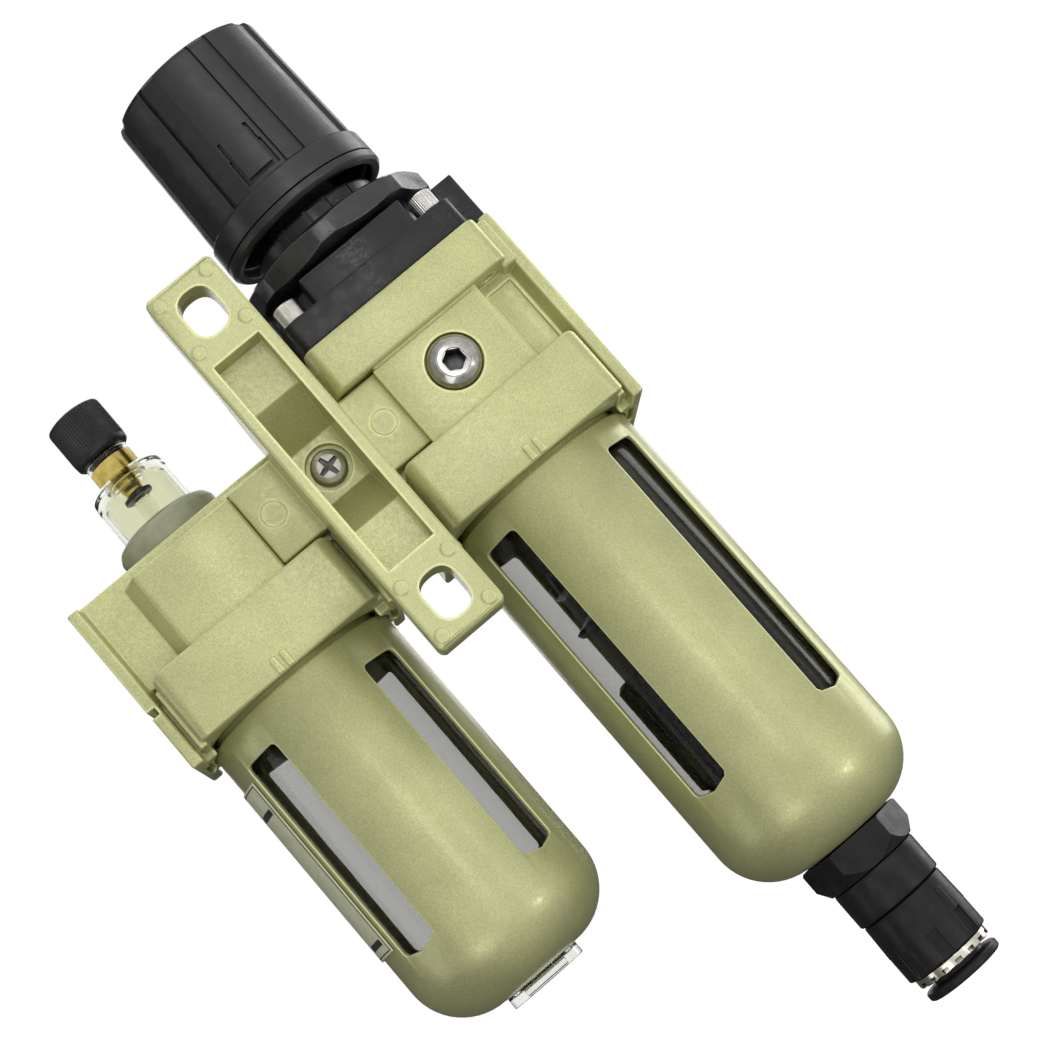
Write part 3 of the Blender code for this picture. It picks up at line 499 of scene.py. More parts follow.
# ---- parts shared by the two modules ----
def bowl_socket_cutters():
    """The bayonet socket under a module, its mouth, and the two cored pockets beside it."""
    socket = rod(21.2, FLANGE_BOTTOM - 1, -14.0, steps=FINE)
    mouth = rod(23.1, FLANGE_BOTTOM - 1, LOWER_BOTTOM + 0.4, steps=FINE)
    pockets = [
        block(sorted((side * 23.4, side * 25.0)), (-6.5, 6.5), (FLANGE_BOTTOM - 1, -20.0), 0, 0.75) for side in (-1, 1)
    ]
    return [socket, mouth, *pockets]


def port_thread(radius, low, high, pitch=1.34, deep=0.55):
    """A cutter for a tapered pipe thread's crests, along X."""
    count = int((high - low) / pitch)
    outline = [(0, high), (radius, high)]
    for k in range(count, 0, -1):
        outline += [(radius + deep, low + pitch * (k - 0.5)), (radius, low + pitch * (k - 1))]
    outline += [(0, low)]
    return moved(lathe(outline, ROUND), tilt=(90, "Y"))


def rib_pair(x):
    """Two short upright ribs that mark the middle of a lower block's back face, and of its front face."""
    ribs = []
    for side in (-1, 1):
        for shift in (-1.2, 1.2):
            y = sorted((side * (BLOCK_Y - 0.6), side * (BLOCK_Y + 0.75)))
            low, high = LOWER_BOTTOM + 0.15, LOWER_BOTTOM + 3.7
            outline = [(x + shift - 0.75, low, 0), (x + shift + 0.75, low, 0), (x + shift + 0.75, high),
                       (x + shift - 0.75, high)]
            ribs.append(plate(rounded(outline, 0.74, segments=6), *y, "y", 0.35))
    return ribs


def module_casting(inner, top):
    """What both cast bodies share. inner is the side, +1 or -1, that faces the spacer."""
    core = block(sorted((-inner * (HALF - 1.6), inner * HALF)), (-14.6, 14.6), (LOWER_BOTTOM, top - 0.6), 0.5)
    lower = block((-BLOCK_X, LOWER_X), (-BLOCK_Y, BLOCK_Y), (LOWER_BOTTOM, LOWER_TOP), 0.6, 3.2)
    corners = [(-BLOCK_X, LOWER_BOTTOM, 1.3), (LOWER_X, LOWER_BOTTOM, 1.3), (LOWER_X, LOWER_TOP, 2.6),
               (-BLOCK_X, LOWER_TOP, 2.6)]
    meet(lower, plate(rounded(corners, 2.0, segments=6), -BLOCK_Y - 1, BLOCK_Y + 1, "y", 0))
    keels = [block(sorted((side * 20.0, side * 24.2)), (-9.5, 9.5), (FLANGE_BOTTOM + 0.4, LOWER_BOTTOM + 2), 0.5)
             for side in (-1, 1)]
    outer = block(sorted((-inner * 23.6, -inner * HALF)), (-18.4, 18.4), (FLANGE_BOTTOM, top), 0.6)
    inside = block(sorted((inner * 23.6, inner * HALF)), (-18.4, 18.4), (FLANGE_BOTTOM, LOWER_TOP + 0.1), 0.6)
    step = block(sorted((-inner * 21.0, -inner * 22.6)), (-20.4, 20.4), (LOWER_BOTTOM - 0.6, -12.2), 0.4)
    return join(core, lower, outer, inside, step, *keels)


def filter_regulator_body():
    body = module_casting(-1, REG_TOP)
    join(
        body,
        block((-BLOCK_X, BLOCK_X + 0.5), (-BLOCK_Y, BLOCK_Y), (9.5, REG_TOP), 0.7, 2.6),
        block((20.8, 24.4), (-20.6, 20.6), (8.3, REG_TOP - 1.0), 0.7),
        *[plate([(HALF, side * 18.4), (23.9, side * 18.4), (21.9, side * 14.2), (HALF, side * 14.2)], LOWER_TOP - 1,
                REG_TOP - 1.5, edge=0.2) for side in (-1, 1)],
        block((-12.7, 14.0), (-FACE_Y, FACE_Y), (-12.0, 12.0), 0.5),
        block((-13.2, 13.2), (-FACE_Y - 0.3, FACE_Y + 0.3), (-12.0, 8.9), 0.3),
        *rib_pair(0.9),
    )
    side_recess = [
        block((15.4, 21.4), sorted((side * 13.9, side * 19.0)), (-9.4, 7.2), 0.3) for side in (-1, 1)
    ]
    bores = [
        rod(PORT_R, 10.5, HALF + 1, axis="x"),
        port_thread(PORT_R - 0.05, 12.0, HALF + 0.3),
        rod(PORT_R, -HALF - 1, -9.5, axis="x"),
        rod(3.6, -15, 0, (15, 0, 0), steps=COARSE),
        rod(6.0, -15, 2.5, steps=COARSE),
        rod(4.2, 2, 6, steps=COARSE),
        block((-13, 8), (-7, 7), (4.8, 10.0), 0),
        rod(2.4, 9, 15, steps=COARSE),
        rod(17.0, 14.0, REG_TOP + 1),
    ]
    for side in (-1, 1):
        bores.append(moved(lathe([(0, 24), (6.0, 24), (6.0, 20.6), (4.7, 20.6), (4.7, 12), (0, 12)]),
                           (0.6, 0, 0), 0, (-90 * side, "X")))
    for x in (-17.6, 17.6):
        for y in (-17.6, 17.6):
            bores.append(rod(2.2, 10.8, REG_TOP + 1, (x, y, 0), steps=COARSE))
            bores.append(rod(1.6, 7, 11.5, (x, y, 0), steps=COARSE))
    cut(body, *bowl_socket_cutters(), *side_recess, *bores)
    publish(body, "filter_regulator_body_fine", REG, PAINT, "filter_regulator_body")


def lubricator_body():
    body = module_casting(1, LUB_TOP)
    raised = [(-14.8, -16.0), (-11.4, -FACE_Y), (12.8, -FACE_Y), (12.8, -16.0)]
    front = [(x, -y) for x, y in raised[::-1]]
    strip = [(-HALF, -18.4), (-23.9, -18.4), (-22.2, -14.8), (-HALF, -14.8)]
    front_strip = [(x, -y) for x, y in strip[::-1]]
    join(
        body,
        block((-HALF + 1.8, HALF - 0.3), (-16.6, 16.6), (LOWER_TOP - 1, LUB_TOP - 0.2), 0.5),
        plate(raised, -12.0, 8.2, edge=0.7),
        plate(front, -12.0, 8.2, edge=0.7),
        plate(strip, -13.9, LUB_TOP - 0.8, edge=0.2),
        plate(front_strip, -13.9, LUB_TOP - 0.8, edge=0.2),
        *rib_pair(0.3),
    )
    cutters = [
        rod(PORT_R, -HALF - 1, HALF + 1, axis="x"),
        moved(port_thread(PORT_R - 0.05, 12.0, HALF + 0.3), turn=180),
        rod(8.9, 8.6, LUB_TOP + 1, steps=FINE),
        rod(1.2, 5, 9, steps=COARSE),
        rod(2.3, -15, 9, (0, 11.0, 0), steps=COARSE),
        rod(4.4, 3.0, LUB_TOP + 1, (-17.5, 9.5, 0), steps=COARSE),
        block((-HALF - 1, -HALF + 1.9), (-20, 20), (-15.6, -13.9), 0),
    ]
    for side in (-1, 1):
        cutters.append(block((HALF - 2.9, HALF + 1), sorted((side * 14.9, side * 20)), (-9.9, LUB_TOP - 1.6), 0))
        cutters.append(block((12.9, HALF + 1), sorted((side * 14.9, side * 23)), (-9.4, 9.3), 0))
        cutters.append(block((22.4, 23.3), sorted((side * 17.2, side * 23)), (-25.5, -13.0), 0.2))
    cut(body, *bowl_socket_cutters(), *cutters)
    publish(body, "lubricator_body_fine", LUB, PAINT, "lubricator_body")


# ---- regulator head ----
def bonnet():
    body = block((-21.8, 21.8), (-21.8, 21.8), (20.5, 27.3), 0.35, 2.8)
    dome = lathe([(0, 57.0), (9.0, 57.0), (9.0, 46.0), (14.6, 45.4), (15.0, 44.8), (15.0, 33.8), (18.2, 32.8),
                  (18.8, 26.8), (0, 26.8)], FINE, 0.3)
    step = block((-12.3, 13.5), (-21.6, 21.6), (26.8, 32.8), 0.3)
    lip = cut(block((-12.3, 13.5), (-21.75, 21.75), (32.2, 32.9), 0.12), rod(19.0, 31, 34))
    ears = [block(sorted((side * 21.0, side * 26.4)), (-14.2, 14.2), (20.5, 32.1), 0.3) for side in (-1, 1)]
    ribs = [block(sorted((side * 17.5, side * 21.5)), (y - 0.7, y + 0.7), (26.8, 31.0), 0.2)
            for side in (-1, 1) for y in (-11.5, 11.5)]
    join(body, dome, step, lip, *ears, *ribs)
    cutters = [
        rod(13.2, 19, 44.0),
        rod(19.9, 19, 21.7),
        rod(4.6, 43, 58),
        rod(7.0, 51.0, 58),
    ]
    for x in (-17.6, 17.6):
        for y in (-17.6, 17.6):
            cutters.append(rod(2.3, 19, 30, (x, y, 0), steps=COARSE))
            cutters.append(rod(3.5, 27.3, 36, (x, y, 0), steps=COARSE))
    for turn in (-28, -6, 14, 38, 150, 172, 195):
        cutters.append(moved(block((-0.35, 0.35), (-16.0, -14.45), (41.0, 47.0), 0), turn=turn))
    cut(body, *cutters)
    publish(body, "bonnet_fine", REG, BONNET, "bonnet")


def socket_screw(number, x, y):
    low, high = 27.6, 31.8

    def knurl(radius, height, angle):
        return radius + (0.05 * math.cos(math.radians(36 * angle)) if radius > 2.7 else 0)

    screw = lathe([(0, high), (2.5, high), (2.8, high - 0.3), (2.8, low), (1.9, low), (1.9, 13.0), (0, 13.0)], 216,
                  0.12, knurl)
    socket = plate(hexagon(1.5), low + 2, high + 1, edge=0)
    cut(screw, socket)
    moved(screw, (x, y, 0))
    publish(screw, f"bonnet_screw_{number}_fine", REG, STEEL, f"bonnet_screw_{number}")


def hexagon(radius, turn=0.0):
    angles = [math.radians(turn + 60 * k) for k in range(6)]
    return [(radius * math.sin(a), -radius * math.cos(a)) for a in angles]


def panel_nut():
    reach = 22.7 / math.cos(math.radians(17.5))
    outline = []
    for k in range(8):
        for side in (-5, 5):
            angle = math.radians(-5 + 45 * k + side)
            outline.append((reach * math.sin(angle), -reach * math.cos(angle)))
    nut = plate(outline, 34.3, 40.3, edge=0)
    rounding = lathe([(0, 41.0), (20.6, 41.0), (24.3, 38.8), (24.3, 35.8), (20.6, 33.6), (0, 33.6)], FINE)
    meet(nut, rounding)
    bm = bmesh.new()
    bm.from_mesh(nut.data)
    bmesh.ops.remove_doubles(bm, verts=bm.verts, dist=0.03)
    soft_edges(bm, 0.12, math.radians(8), 1)
    bm.to_mesh(nut.data)
    bm.free()
    cut(nut, rod(15.3, 33, 42, steps=FINE))
    publish(nut, "panel_nut_fine", REG, NUT_BLACK, "panel_nut", sharp=20)


PANEL_PITCH, PANEL_WIDE, PANEL_TURN = 45.0, 28.5, -8.3
PANEL_GROOVE = 2.3


def panel_angles():
    """Angles round the knob, with close pairs at the panels' edges."""
    angles = []
    for k in range(8):
        middle_angle = PANEL_TURN + PANEL_PITCH * k
        first, last = middle_angle - PANEL_WIDE / 2, middle_angle + PANEL_WIDE / 2
        angles += [first - 0.35, first, first + 0.3]
        angles += [first + PANEL_WIDE * n / 12 for n in range(1, 12)]
        angles += [last - 0.3, last, last + 0.35, last + PANEL_GROOVE, last + PANEL_GROOVE + 0.35]
        angles += [last + (PANEL_PITCH - PANEL_WIDE) * n / 6 for n in range(2, 6)]
    return [math.radians(angle) for angle in angles]


def turned_at(profile, angles, edge, shape):
    """A turned piece, closed on the axis at both ends, with columns at the given angles."""
    points = rounded(profile, edge, closed=False)
    bm = bmesh.new()
    top = bm.verts.new((0, 0, points[0][1]))
    bottom = bm.verts.new((0, 0, points[-1][1]))
    columns = []
    for angle in angles:
        column = [top]
        for radius, height in points[1:-1]:
            r = shape(radius, height, math.degrees(angle))
            column.append(bm.verts.new((r * math.sin(angle), -r * math.cos(angle), height)))
        columns.append(column + [bottom])
    for k, column in enumerate(columns):
        other = columns[(k + 1) % len(columns)]
        for i in range(len(column) - 1):
            corners = []
            for vert in (column[i], column[i + 1], other[i + 1], other[i]):
                if vert not in corners:
                    corners.append(vert)
            bm.faces.new(corners)
    return as_object("turned", bm)


def knob():
    def panels(radius, height, angle):
        if radius < 17.2 or height < 54.9:
            return radius
        past = (angle - PANEL_TURN + PANEL_WIDE / 2) % PANEL_PITCH - PANEL_WIDE
        if past <= 0.1 or past > PANEL_PITCH - PANEL_WIDE - 0.1:
            return radius
        return radius - (1.35 if past < PANEL_GROOVE + 0.1 else 0.7)

    shell = turned_at(
        [(0, 87.6), (12.0, 87.6), (13.0, 87.45), (16.7, 87.4), (17.75, 87.0, 0.4), (18.1, 86.2, 0), (18.1, 85.9, 0),
         (18.25, 80.0, 0), (18.6, 68.0, 0), (19.0, 54.95, 0), (19.05, 54.6, 0), (19.7, 54.1, 0.3),
         (19.8, 49.2, 0.12), (17.3, 49.2), (16.6, 83.8), (7.4, 83.8), (7.4, 64.0), (4.7, 64.0), (4.7, 82.5),
         (0, 82.5)],
        panel_angles(), 0.4, panels)
    slots = []
    for side in (-1, 1):
        slots.append(moved(block((-0.42, 0.42), (-20, -17.35), (60.5, 66.5), 0), turn=PANEL_TURN + side * 10.6))
        slots.append(moved(block((-0.55, 0.55), (-20, -17.35), (55.3, 62.0), 0), turn=PANEL_TURN + side * 11.2))
    slots.append(moved(block((-3.8, 3.8), (-20, -17.35), (55.3, 56.6), 0), turn=PANEL_TURN))
    cut(shell, *slots)
    publish(shell, "pressure_knob_fine", REG, KNOB_BLACK, "pressure_knob", sharp=28)
    ring = lathe([(19.8, 48.9), (19.8, 47.4, 0.5), (19.0, 46.5, 0.3), (17.9, 46.5), (17.4, 47.0), (17.4, 48.9)],
                 FINE, 0.12)
    publish(ring, "knob_ring_fine", REG, KNOB_BLACK, "knob_ring")


def gauge_plug(name, side):
    """A button-head plug with a hexagon socket. side is -1 at the back and +1 at the front."""
    plug = lathe([(0, 24.0), (3.4, 23.95, 0.1), (3.5, 23.8, 0.1), (3.65, 23.85, 0.1), (4.9, 23.1, 1.0),
                  (5.5, 22.4, 0.5), (5.7, 21.8, 0.3), (5.65, 20.9), (4.4, 20.9), (4.4, 12.6), (0, 12.6)], ROUND, 0.1)
    socket = join(plate(hexagon(2.5), 19.4, 26, edge=0),
                  lathe([(0, 25.0), (2.95, 25.0), (2.4, 23.75), (0, 23.75)], 48))
    drill = lathe([(0, 19.5), (2.0, 19.5), (0, 18.3)], COARSE)
    cut(plug, socket, drill)
    moved(plug, (0.6, 0, 0), 0, (90 if side < 0 else -90, "X"))
    publish(plug, name + "_fine", REG, PLUG_STEEL, name)
    # a near-black hexagonal sheet on the socket's walls: painted shade inside the socket
    socket_shade_sheet = cut(plate(hexagon(2.48), 19.45, 23.5, edge=0), plate(hexagon(2.4), 19.7, 24.0, edge=0))
    moved(socket_shade_sheet, (0.6, 0, 0), 0, (90 if side < 0 else -90, "X"))
    publish(socket_shade_sheet, name + "_socket", REG, PAINTED_SHADE_STEEL, body=BODY_OF[name])


# ---- bracket, clamp and screws ----
def wings(low, high):
    made = block((-19.0, 19.0), (low, high), (-9.0, 9.0), 0.45)
    return made


def bracket():
    face, pad = -BACK, -BACK + 8.8
    half = [(face, 44.6, 1.2), (pad, 44.6, 1.2), (pad, 22.0, 2.0), (-20.5, 14.0, 1.0), (-20.5, 9.0, 0),
            (-15.2, 9.0, 0.4)]
    outline = rounded(half + [(c[0], -c[1], c[2]) for c in half[::-1]], 0.5)
    body = plate(outline, -8.1, 8.1, "x", 0)
    meet(body, plate(rounded([(-8.1, -44.7), (8.1, -44.7), (8.1, 44.7), (-8.1, 44.7)], 2.0), face - 1, 0, "y", 0))
    bm = bmesh.new()
    bm.from_mesh(body.data)
    soft_edges(bm, 0.7, math.radians(50), 4)
    bm.to_mesh(body.data)
    bm.free()
    join(body, wings(-20.5, -15.2))
    bosses = []
    for x in (-5.8, 5.8):
        for z in (-42.0, -30.0, 30.0, 42.0):
            boss = lathe([(0, 0.3), (1.25, 0.3), (1.65, 0.05), (1.7, -1), (0, -1)], COARSE, 0.1)
            bosses.append(moved(boss, (x, face, z), 0, (90, "X")))
    join(body, *bosses)
    shallow = face + 6.8
    pocket_half = [(face - 1, 26.0, 0), (shallow, 26.0, 0.4), (shallow, 15.0, 0.5), (-21.5, 6.2, 0.4)]
    pocket = plate(rounded(pocket_half + [(c[0], -c[1], c[2]) for c in pocket_half[::-1]], 0.3), -5.6, 5.6, "x", 0)
    cutters = [pocket]
    for side in (-1, 1):
        slot = rounded([(-3.9, side * 36 - 5.1), (3.9, side * 36 - 5.1), (3.9, side * 36 + 5.1),
                        (-3.9, side * 36 + 5.1)], 3.9, segments=12)
        cutters.append(plate(slot, face - 2, pad + 2, "y", 0))
        ejector = lathe([(2.75, 1), (2.75, -0.2), (2.45, -0.2), (2.45, 1)], COARSE)
        cutters.append(moved(ejector, (side * 14.2, -20.5, 0), 0, (90, "X")))
    cutters += [rod(2.3, -23, -14, axis="y"), rod(4.75, -22, -19.9, axis="y")]
    cut(body, *cutters)
    publish(body, "bracket_fine", UNIT, PAINT, "bracket")


def pan_screw(name, node, side):
    """A pan-head cross-recess screw: -1 is behind, through the bracket, +1 is in front, through the clamp."""
    seat = 20.3 if side < 0 else 21.0
    screw = lathe([(0, seat + 2.0), (2.4, seat + 1.95, 1.0), (3.4, seat + 1.5, 0.7), (3.75, seat + 0.7, 0.4),
                   (3.8, seat, 0.1), (2.0, seat), (2.0, 9.2), (0, 9.2)], ROUND, 0.1)
    arm = [(-2.35, -0.42), (-0.9, -0.62), (0.9, -0.62), (2.35, -0.42), (2.35, 0.42), (0.9, 0.62), (-0.9, 0.62),
           (-2.35, 0.42)]
    across = plate(arm, seat + 0.75, seat + 4, edge=0)
    down = moved(plate(arm, seat + 0.75, seat + 4, edge=0), turn=90)
    cone = lathe([(0, seat + 0.9), (0.9, seat + 0.9), (0, seat - 0.4)], 8)
    cut(screw, across, down, cone)
    # a near-black cross-shaped sheet at the bottom of the cross recess: painted shade inside the recess
    cross_shade_sheet = join(plate(arm, seat + 0.7, seat + 1.0, edge=0), moved(plate(arm, seat + 0.7, seat + 1.0, edge=0), turn=90))
    for made in (screw, cross_shade_sheet):
        moved(made, turn=14)
        moved(made, tilt=(90 if side < 0 else -90, "X"))
    publish(screw, name, UNIT, PAN_STEEL, node)
    publish(cross_shade_sheet, node + "_recess", UNIT, PAINTED_SHADE_STEEL, body=BODY_OF[node])


def clamp():
    body = wings(15.2, 20.5)
    body_ring = [lathe([(2.75, 1), (2.75, -0.2), (2.45, -0.2), (2.45, 1)], COARSE) for _ in range(2)]
    for side, tool in zip((-1, 1), body_ring):
        moved(tool, (side * 14.2, 20.5, 0), 0, (-90, "X"))
    cut(body, rod(2.3, 14, 23, axis="y"), *body_ring)
    publish(body, "clamp_fine", UNIT, PAINT, "clamp")


# ---- filter bowl side ----
def arc_points(centre_r, centre_z, radius, first, last, steps=10):
    angles = [math.radians(first + (last - first) * k / steps) for k in range(steps + 1)]
    return [(centre_r + radius * math.cos(a), centre_z + radius * math.sin(a)) for a in angles]


def bowl(bottom, floor):
    """A clear bowl with a round bottom corner. floor lies between the outer and the inner arc."""
    outer = [(19.3, -16.0), (19.3, -30.0), (20.9, -32.5)]
    outer += arc_points(9.9, bottom + 11.0, 11.0, 0, -90)
    inner = arc_points(7.9, bottom + 13.0, 11.0, -90, 0)
    inner += [(18.9, -32.5), (17.1, -30.0), (17.1, -16.0)]
    return lathe(outer + floor + inner, FINE)


def guard(node, origin, bottom, hole, window, wide, spread, turn):
    """A sheet guard with four windows, each with round upper corners and a shallow point at its lower end.

    spread is the angle from the guard's back, or front, to the middle of a window."""
    outer_r, inner_r = 22.5, 21.6
    profile = [(20.5, -21.0), (20.5, -27.0), (22.1, -27.0), (22.5, -27.5)]
    profile += arc_points(outer_r - 13.0, bottom + 13.0, 13.0, 0, -90, 14)
    profile += [(hole, bottom), (hole, bottom + 0.9)]
    profile += arc_points(inner_r - 12.1, bottom + 13.0, 12.1, -90, 0, 14)
    profile += [(inner_r, -29.5), (19.6, -26.6), (19.6, -21.0)]
    body = lathe(profile, FINE)
    half = outer_r * math.sin(math.radians(wide / 2))
    outline = [(-half, window[1], 1.5), (-half, window[0] + 1.9, 0.35), (-half + 0.7, window[0] + 1.0, 0.3),
               (0, window[0], 0.8), (half - 0.7, window[0] + 1.0, 0.3), (half, window[0] + 1.9, 0.35),
               (half, window[1], 1.5)]
    openings = [
        moved(plate(rounded(outline, 0.5), -26.0, -16.0, "y", 0), turn=angle + turn)
        for angle in (-spread, spread, 180 - spread, 180 + spread)
    ]
    cut(body, *openings)
    bm = bmesh.new()
    bm.from_mesh(body.data)
    soft_edges(bm, 0.14, math.radians(60), 2)
    bm.to_mesh(body.data)
    bm.free()
    publish(body, node + "_fine", origin, SHEET_PAINT, node)


def filter_inside():
    element = lathe([(12.0, -23.9), (12.0, -45.0), (8.0, -45.0), (8.0, -23.9)], ROUND, 0.3)
    publish(element, "filter_element_fine", REG, SHADED_MEDIA, "filter_element")
    baffle = lathe([(0, -48.4), (3.3, -48.4), (3.3, -45.3), (13.2, -45.3), (13.2, -47.6), (11.4, -48.6),
                    (5.5, -49.6), (5.5, -52.0), (14.6, -56.0), (14.0, -57.0), (4.6, -54.6), (0, -54.6)], ROUND, 0.25)
    publish(baffle, "baffle_fine", REG, BLACK, "baffle")


def drain_group():
    def flutes(radius, height, angle):
        if radius < 15.9 or not -95.5 < height < -71.5:
            return radius
        pointed = min(1.0, (-71.5 - height) / 2.0, (height + 95.5) / 2.0)
        wave = max(0.0, math.cos(math.radians(24 * angle)) - 0.1)
        return radius - 0.75 * pointed * wave

    heights = [-70.6 - 25.4 * k / 24 for k in range(25)]
    profile = [(5.0, -69.6), (15.0, -69.6)] + [(16.0, z) for z in heights] + [
        (9.4, -101.0), (9.4, -116.9), (6.5, -117.1), (6.5, -129.2), (2.2, -129.2), (2.2, -100.0), (14.2, -95.0),
        (14.2, -72.0), (5.0, -72.0)]
    housing = lathe(profile, 240, 0.0, flutes)
    publish(housing, "auto_drain_housing_fine", REG, BLACK, "auto_drain_housing")

    nut = plate(hexagon(12.2, 26.5), -129.3, -122.0, edge=0)
    meet(nut, lathe([(0, -121.5), (11.2, -121.5), (12.2, -122.4), (12.2, -126.6), (10.2, -129.7), (0, -129.7)], FINE))
    cut(nut, rod(6.9, -131, -120))
    publish(nut, "drain_hex_nut_fine", REG, BLACK, "drain_hex_nut", sharp=20)
    adapter = lathe([(4.4, -129.6), (9.9, -129.6, 0.1), (10.05, -130.2), (10.05, -137.5), (9.8, -137.8),
                     (4.4, -137.8)], FINE, 0.15)
    publish(adapter, "fitting_adapter_fine", REG, BLACK, "fitting_adapter")
    fitting = lathe([(4.4, -138.1), (9.4, -138.1), (9.6, -138.4), (9.85, -146.0), (9.85, -151.8), (9.6, -152.1),
                     (6.4, -152.1), (6.4, -141.0), (4.4, -140.5)], FINE, 0.15)
    rib = moved(block((-0.8, 0.8), (-10.15, -9.0), (-151.0, -140.5), 0.3), turn=35)
    join(fitting, rib)
    bevelled = [(-1.2, -9.1), (-1.8, -11.0), (1.8, -11.0), (1.2, -9.1)]
    notches = [moved(plate(bevelled, -153, -145.9, edge=0), turn=-7.6 + 45 * k) for k in range(8)]
    cut(fitting, *notches)
    publish(fitting, "fitting_body_fine", REG, BLACK, "fitting_body")
    castle = lathe([(8.8, -152.4), (8.8, -154.2), (8.6, -154.4), (6.4, -154.4), (6.4, -152.4)], FINE, 0.1)
    slots = [moved(block((-0.8, 0.8), (-10, -7.8), (-155, -153.3), 0), turn=-3 + 22.5 * k) for k in range(16)]
    cut(castle, *slots)
    publish(castle, "fitting_ring_fine", REG, NICKEL, "fitting_ring")
    collar = lathe([(6.0, -143.0), (6.0, -155.6), (8.6, -155.8), (8.9, -156.2), (8.9, -157.3), (8.5, -157.7),
                    (4.6, -157.7), (4.1, -157.2), (4.1, -143.0)], FINE, 0.2)
    publish(collar, "release_collar_fine", REG, BLACK, "release_collar")


def filter_bowl_group():
    clear = bowl(-119.4, [(6.9, -119.4), (6.9, -117.4)])
    publish(clear, "filter_bowl_fine", REG, CLEAR, "filter_bowl", sharp=60)
    guard("filter_bowl_guard", REG, -121.7, 7.0, (-97.6, -32.6), 25.0, 45.5, 0.3)


# ---- lubricator head and bowl ----
def sight_group():
    collar = lathe([(8.8, 17.7), (9.4, 17.6, 0.4), (11.0, 16.8, 1.2), (11.8, 15.3, 1.0), (11.8, 11.3), (8.8, 11.3)],
                   FINE, 0.15)
    publish(collar, "sight_dome_ring_fine", LUB, RING_GREY, "sight_dome_ring")
    dome = lathe([(5.1, 35.3), (5.1, 30.1, 0.5), (6.9, 29.8, 0.8), (8.4, 28.9, 1.4), (8.65, 27.0, 0.8), (8.65, 9.0),
                  (7.9, 9.0), (7.9, 26.2, 0.8), (6.9, 28.3, 1.0), (4.35, 28.8), (4.35, 35.3)], FINE, 0.15)
    publish(dome, "sight_dome_fine", LUB, DOME_CLEAR, "sight_dome")
    sleeve = lathe([(3.4, 27.7), (6.5, 27.4, 0.8), (7.6, 25.6, 0.8), (7.6, 11.0), (7.0, 11.0), (7.0, 25.2, 0.6),
                    (6.1, 26.8, 0.6), (3.4, 27.1)], ROUND, 0.15)
    publish(sleeve, "sight_dome_sleeve", LUB, DOME_TINT, body=BODY_OF["sight_dome"])

    insert = lathe([(1.1, 34.2), (4.38, 34.2), (4.38, 30.0), (4.0, 29.5), (2.4, 29.4), (2.4, 27.2), (2.1, 26.9),
                    (2.1, 25.7), (1.1, 25.3)], ROUND, 0.12)
    publish(insert, "drip_insert_fine", LUB, BRASS, "drip_insert")
    washer = lathe([(1.2, 25.2), (3.3, 25.2), (3.3, 24.4), (1.2, 24.4)], ROUND, 0.15)
    publish(washer, "drip_washer", LUB, BLACK, body=BODY_OF["drip_insert"])

    def ribs(radius, height, angle):
        fade = min(1.0, max(0.0, (height - 36.9) / 0.8), max(0.0, (46.4 - height) / 0.8))
        return radius + (0.11 * fade * math.cos(math.radians(60 * angle)) if radius > 6.0 else 0.0)

    rows = [(6.2, 46.0 - 9.4 * k / 16, 0) for k in range(17)]
    cap = lathe([(0, 46.7), (5.2, 46.7, 0.5)] + [(6.1, 46.3, 0)] + rows + [(6.1, 36.2, 0), (5.5, 35.7), (4.0, 35.6),
                                                                          (4.0, 34.4), (1.15, 34.4), (1.15, 43.6),
                                                                          (0, 43.6)], 480, 0.3, ribs)
    publish(cap, "drip_cap_fine", LUB, RIBBED_BLACK, "drip_cap")
    tube = lathe([(1.0, 23.8), (1.9, 23.8), (1.9, 13.0), (3.6, 12.0), (3.6, 9.3), (1.0, 9.3)], COARSE, 0.2)
    publish(tube, "drip_tube_fine", LUB, DOME_CLEAR, "drip_tube")
    plug = lathe([(0, 14.0), (4.6, 14.0), (5.4, 13.2), (5.4, 11.3), (4.0, 11.3), (4.0, 3.6), (0, 3.6)], ROUND, 0.3)
    cut(plug, plate(hexagon(2.6), 11.5, 16, edge=0))
    moved(plug, (-17.5, 9.5, 0))
    publish(plug, "filler_plug_fine", LUB, STEEL, "filler_plug")


def oil_parts():
    tube = moved(lathe([(1.9, -10), (1.9, -88), (1.2, -88), (1.2, -10)], COARSE, 0.1), (0, 11.0, 0))
    publish(tube, "siphon_tube_fine", LUB, DOME_CLEAR, "siphon_tube")
    strainer = lathe([(0, -88.6), (2.3, -88.6), (2.3, -80.0), (4.0, -80.0), (4.0, -91.0), (0, -91.0)], COARSE, 0.2)
    publish(moved(strainer, (0, 11.0, 0)), "siphon_strainer_fine", LUB, BRASS, "siphon_strainer")


def lubricator_bowl_group():
    clear = bowl(-99.6, [(0.0, -99.6), (0.0, -97.6)])
    publish(clear, "lubricator_bowl_fine", LUB, CLEAR, "lubricator_bowl", sharp=60)
    guard("lubricator_bowl_guard", LUB, -101.8, 9.2, (-83.8, -34.3), 25.5, 43.1, 0.7)
    nub = lathe([(8.8, -99.9), (8.8, -104.4), (7.7, -104.4), (7.7, -102.4), (6.6, -102.0), (6.6, -99.9)], ROUND, 0.2)
    bar = block((-5.2, 5.2), (-1.0, 1.0), (-103.9, -99.9), 0.25)
    publish(gather(nub, bar), "lubricator_bowl_nub", LUB, NUB_CLEAR, body="lubricator_bowl_assembly")


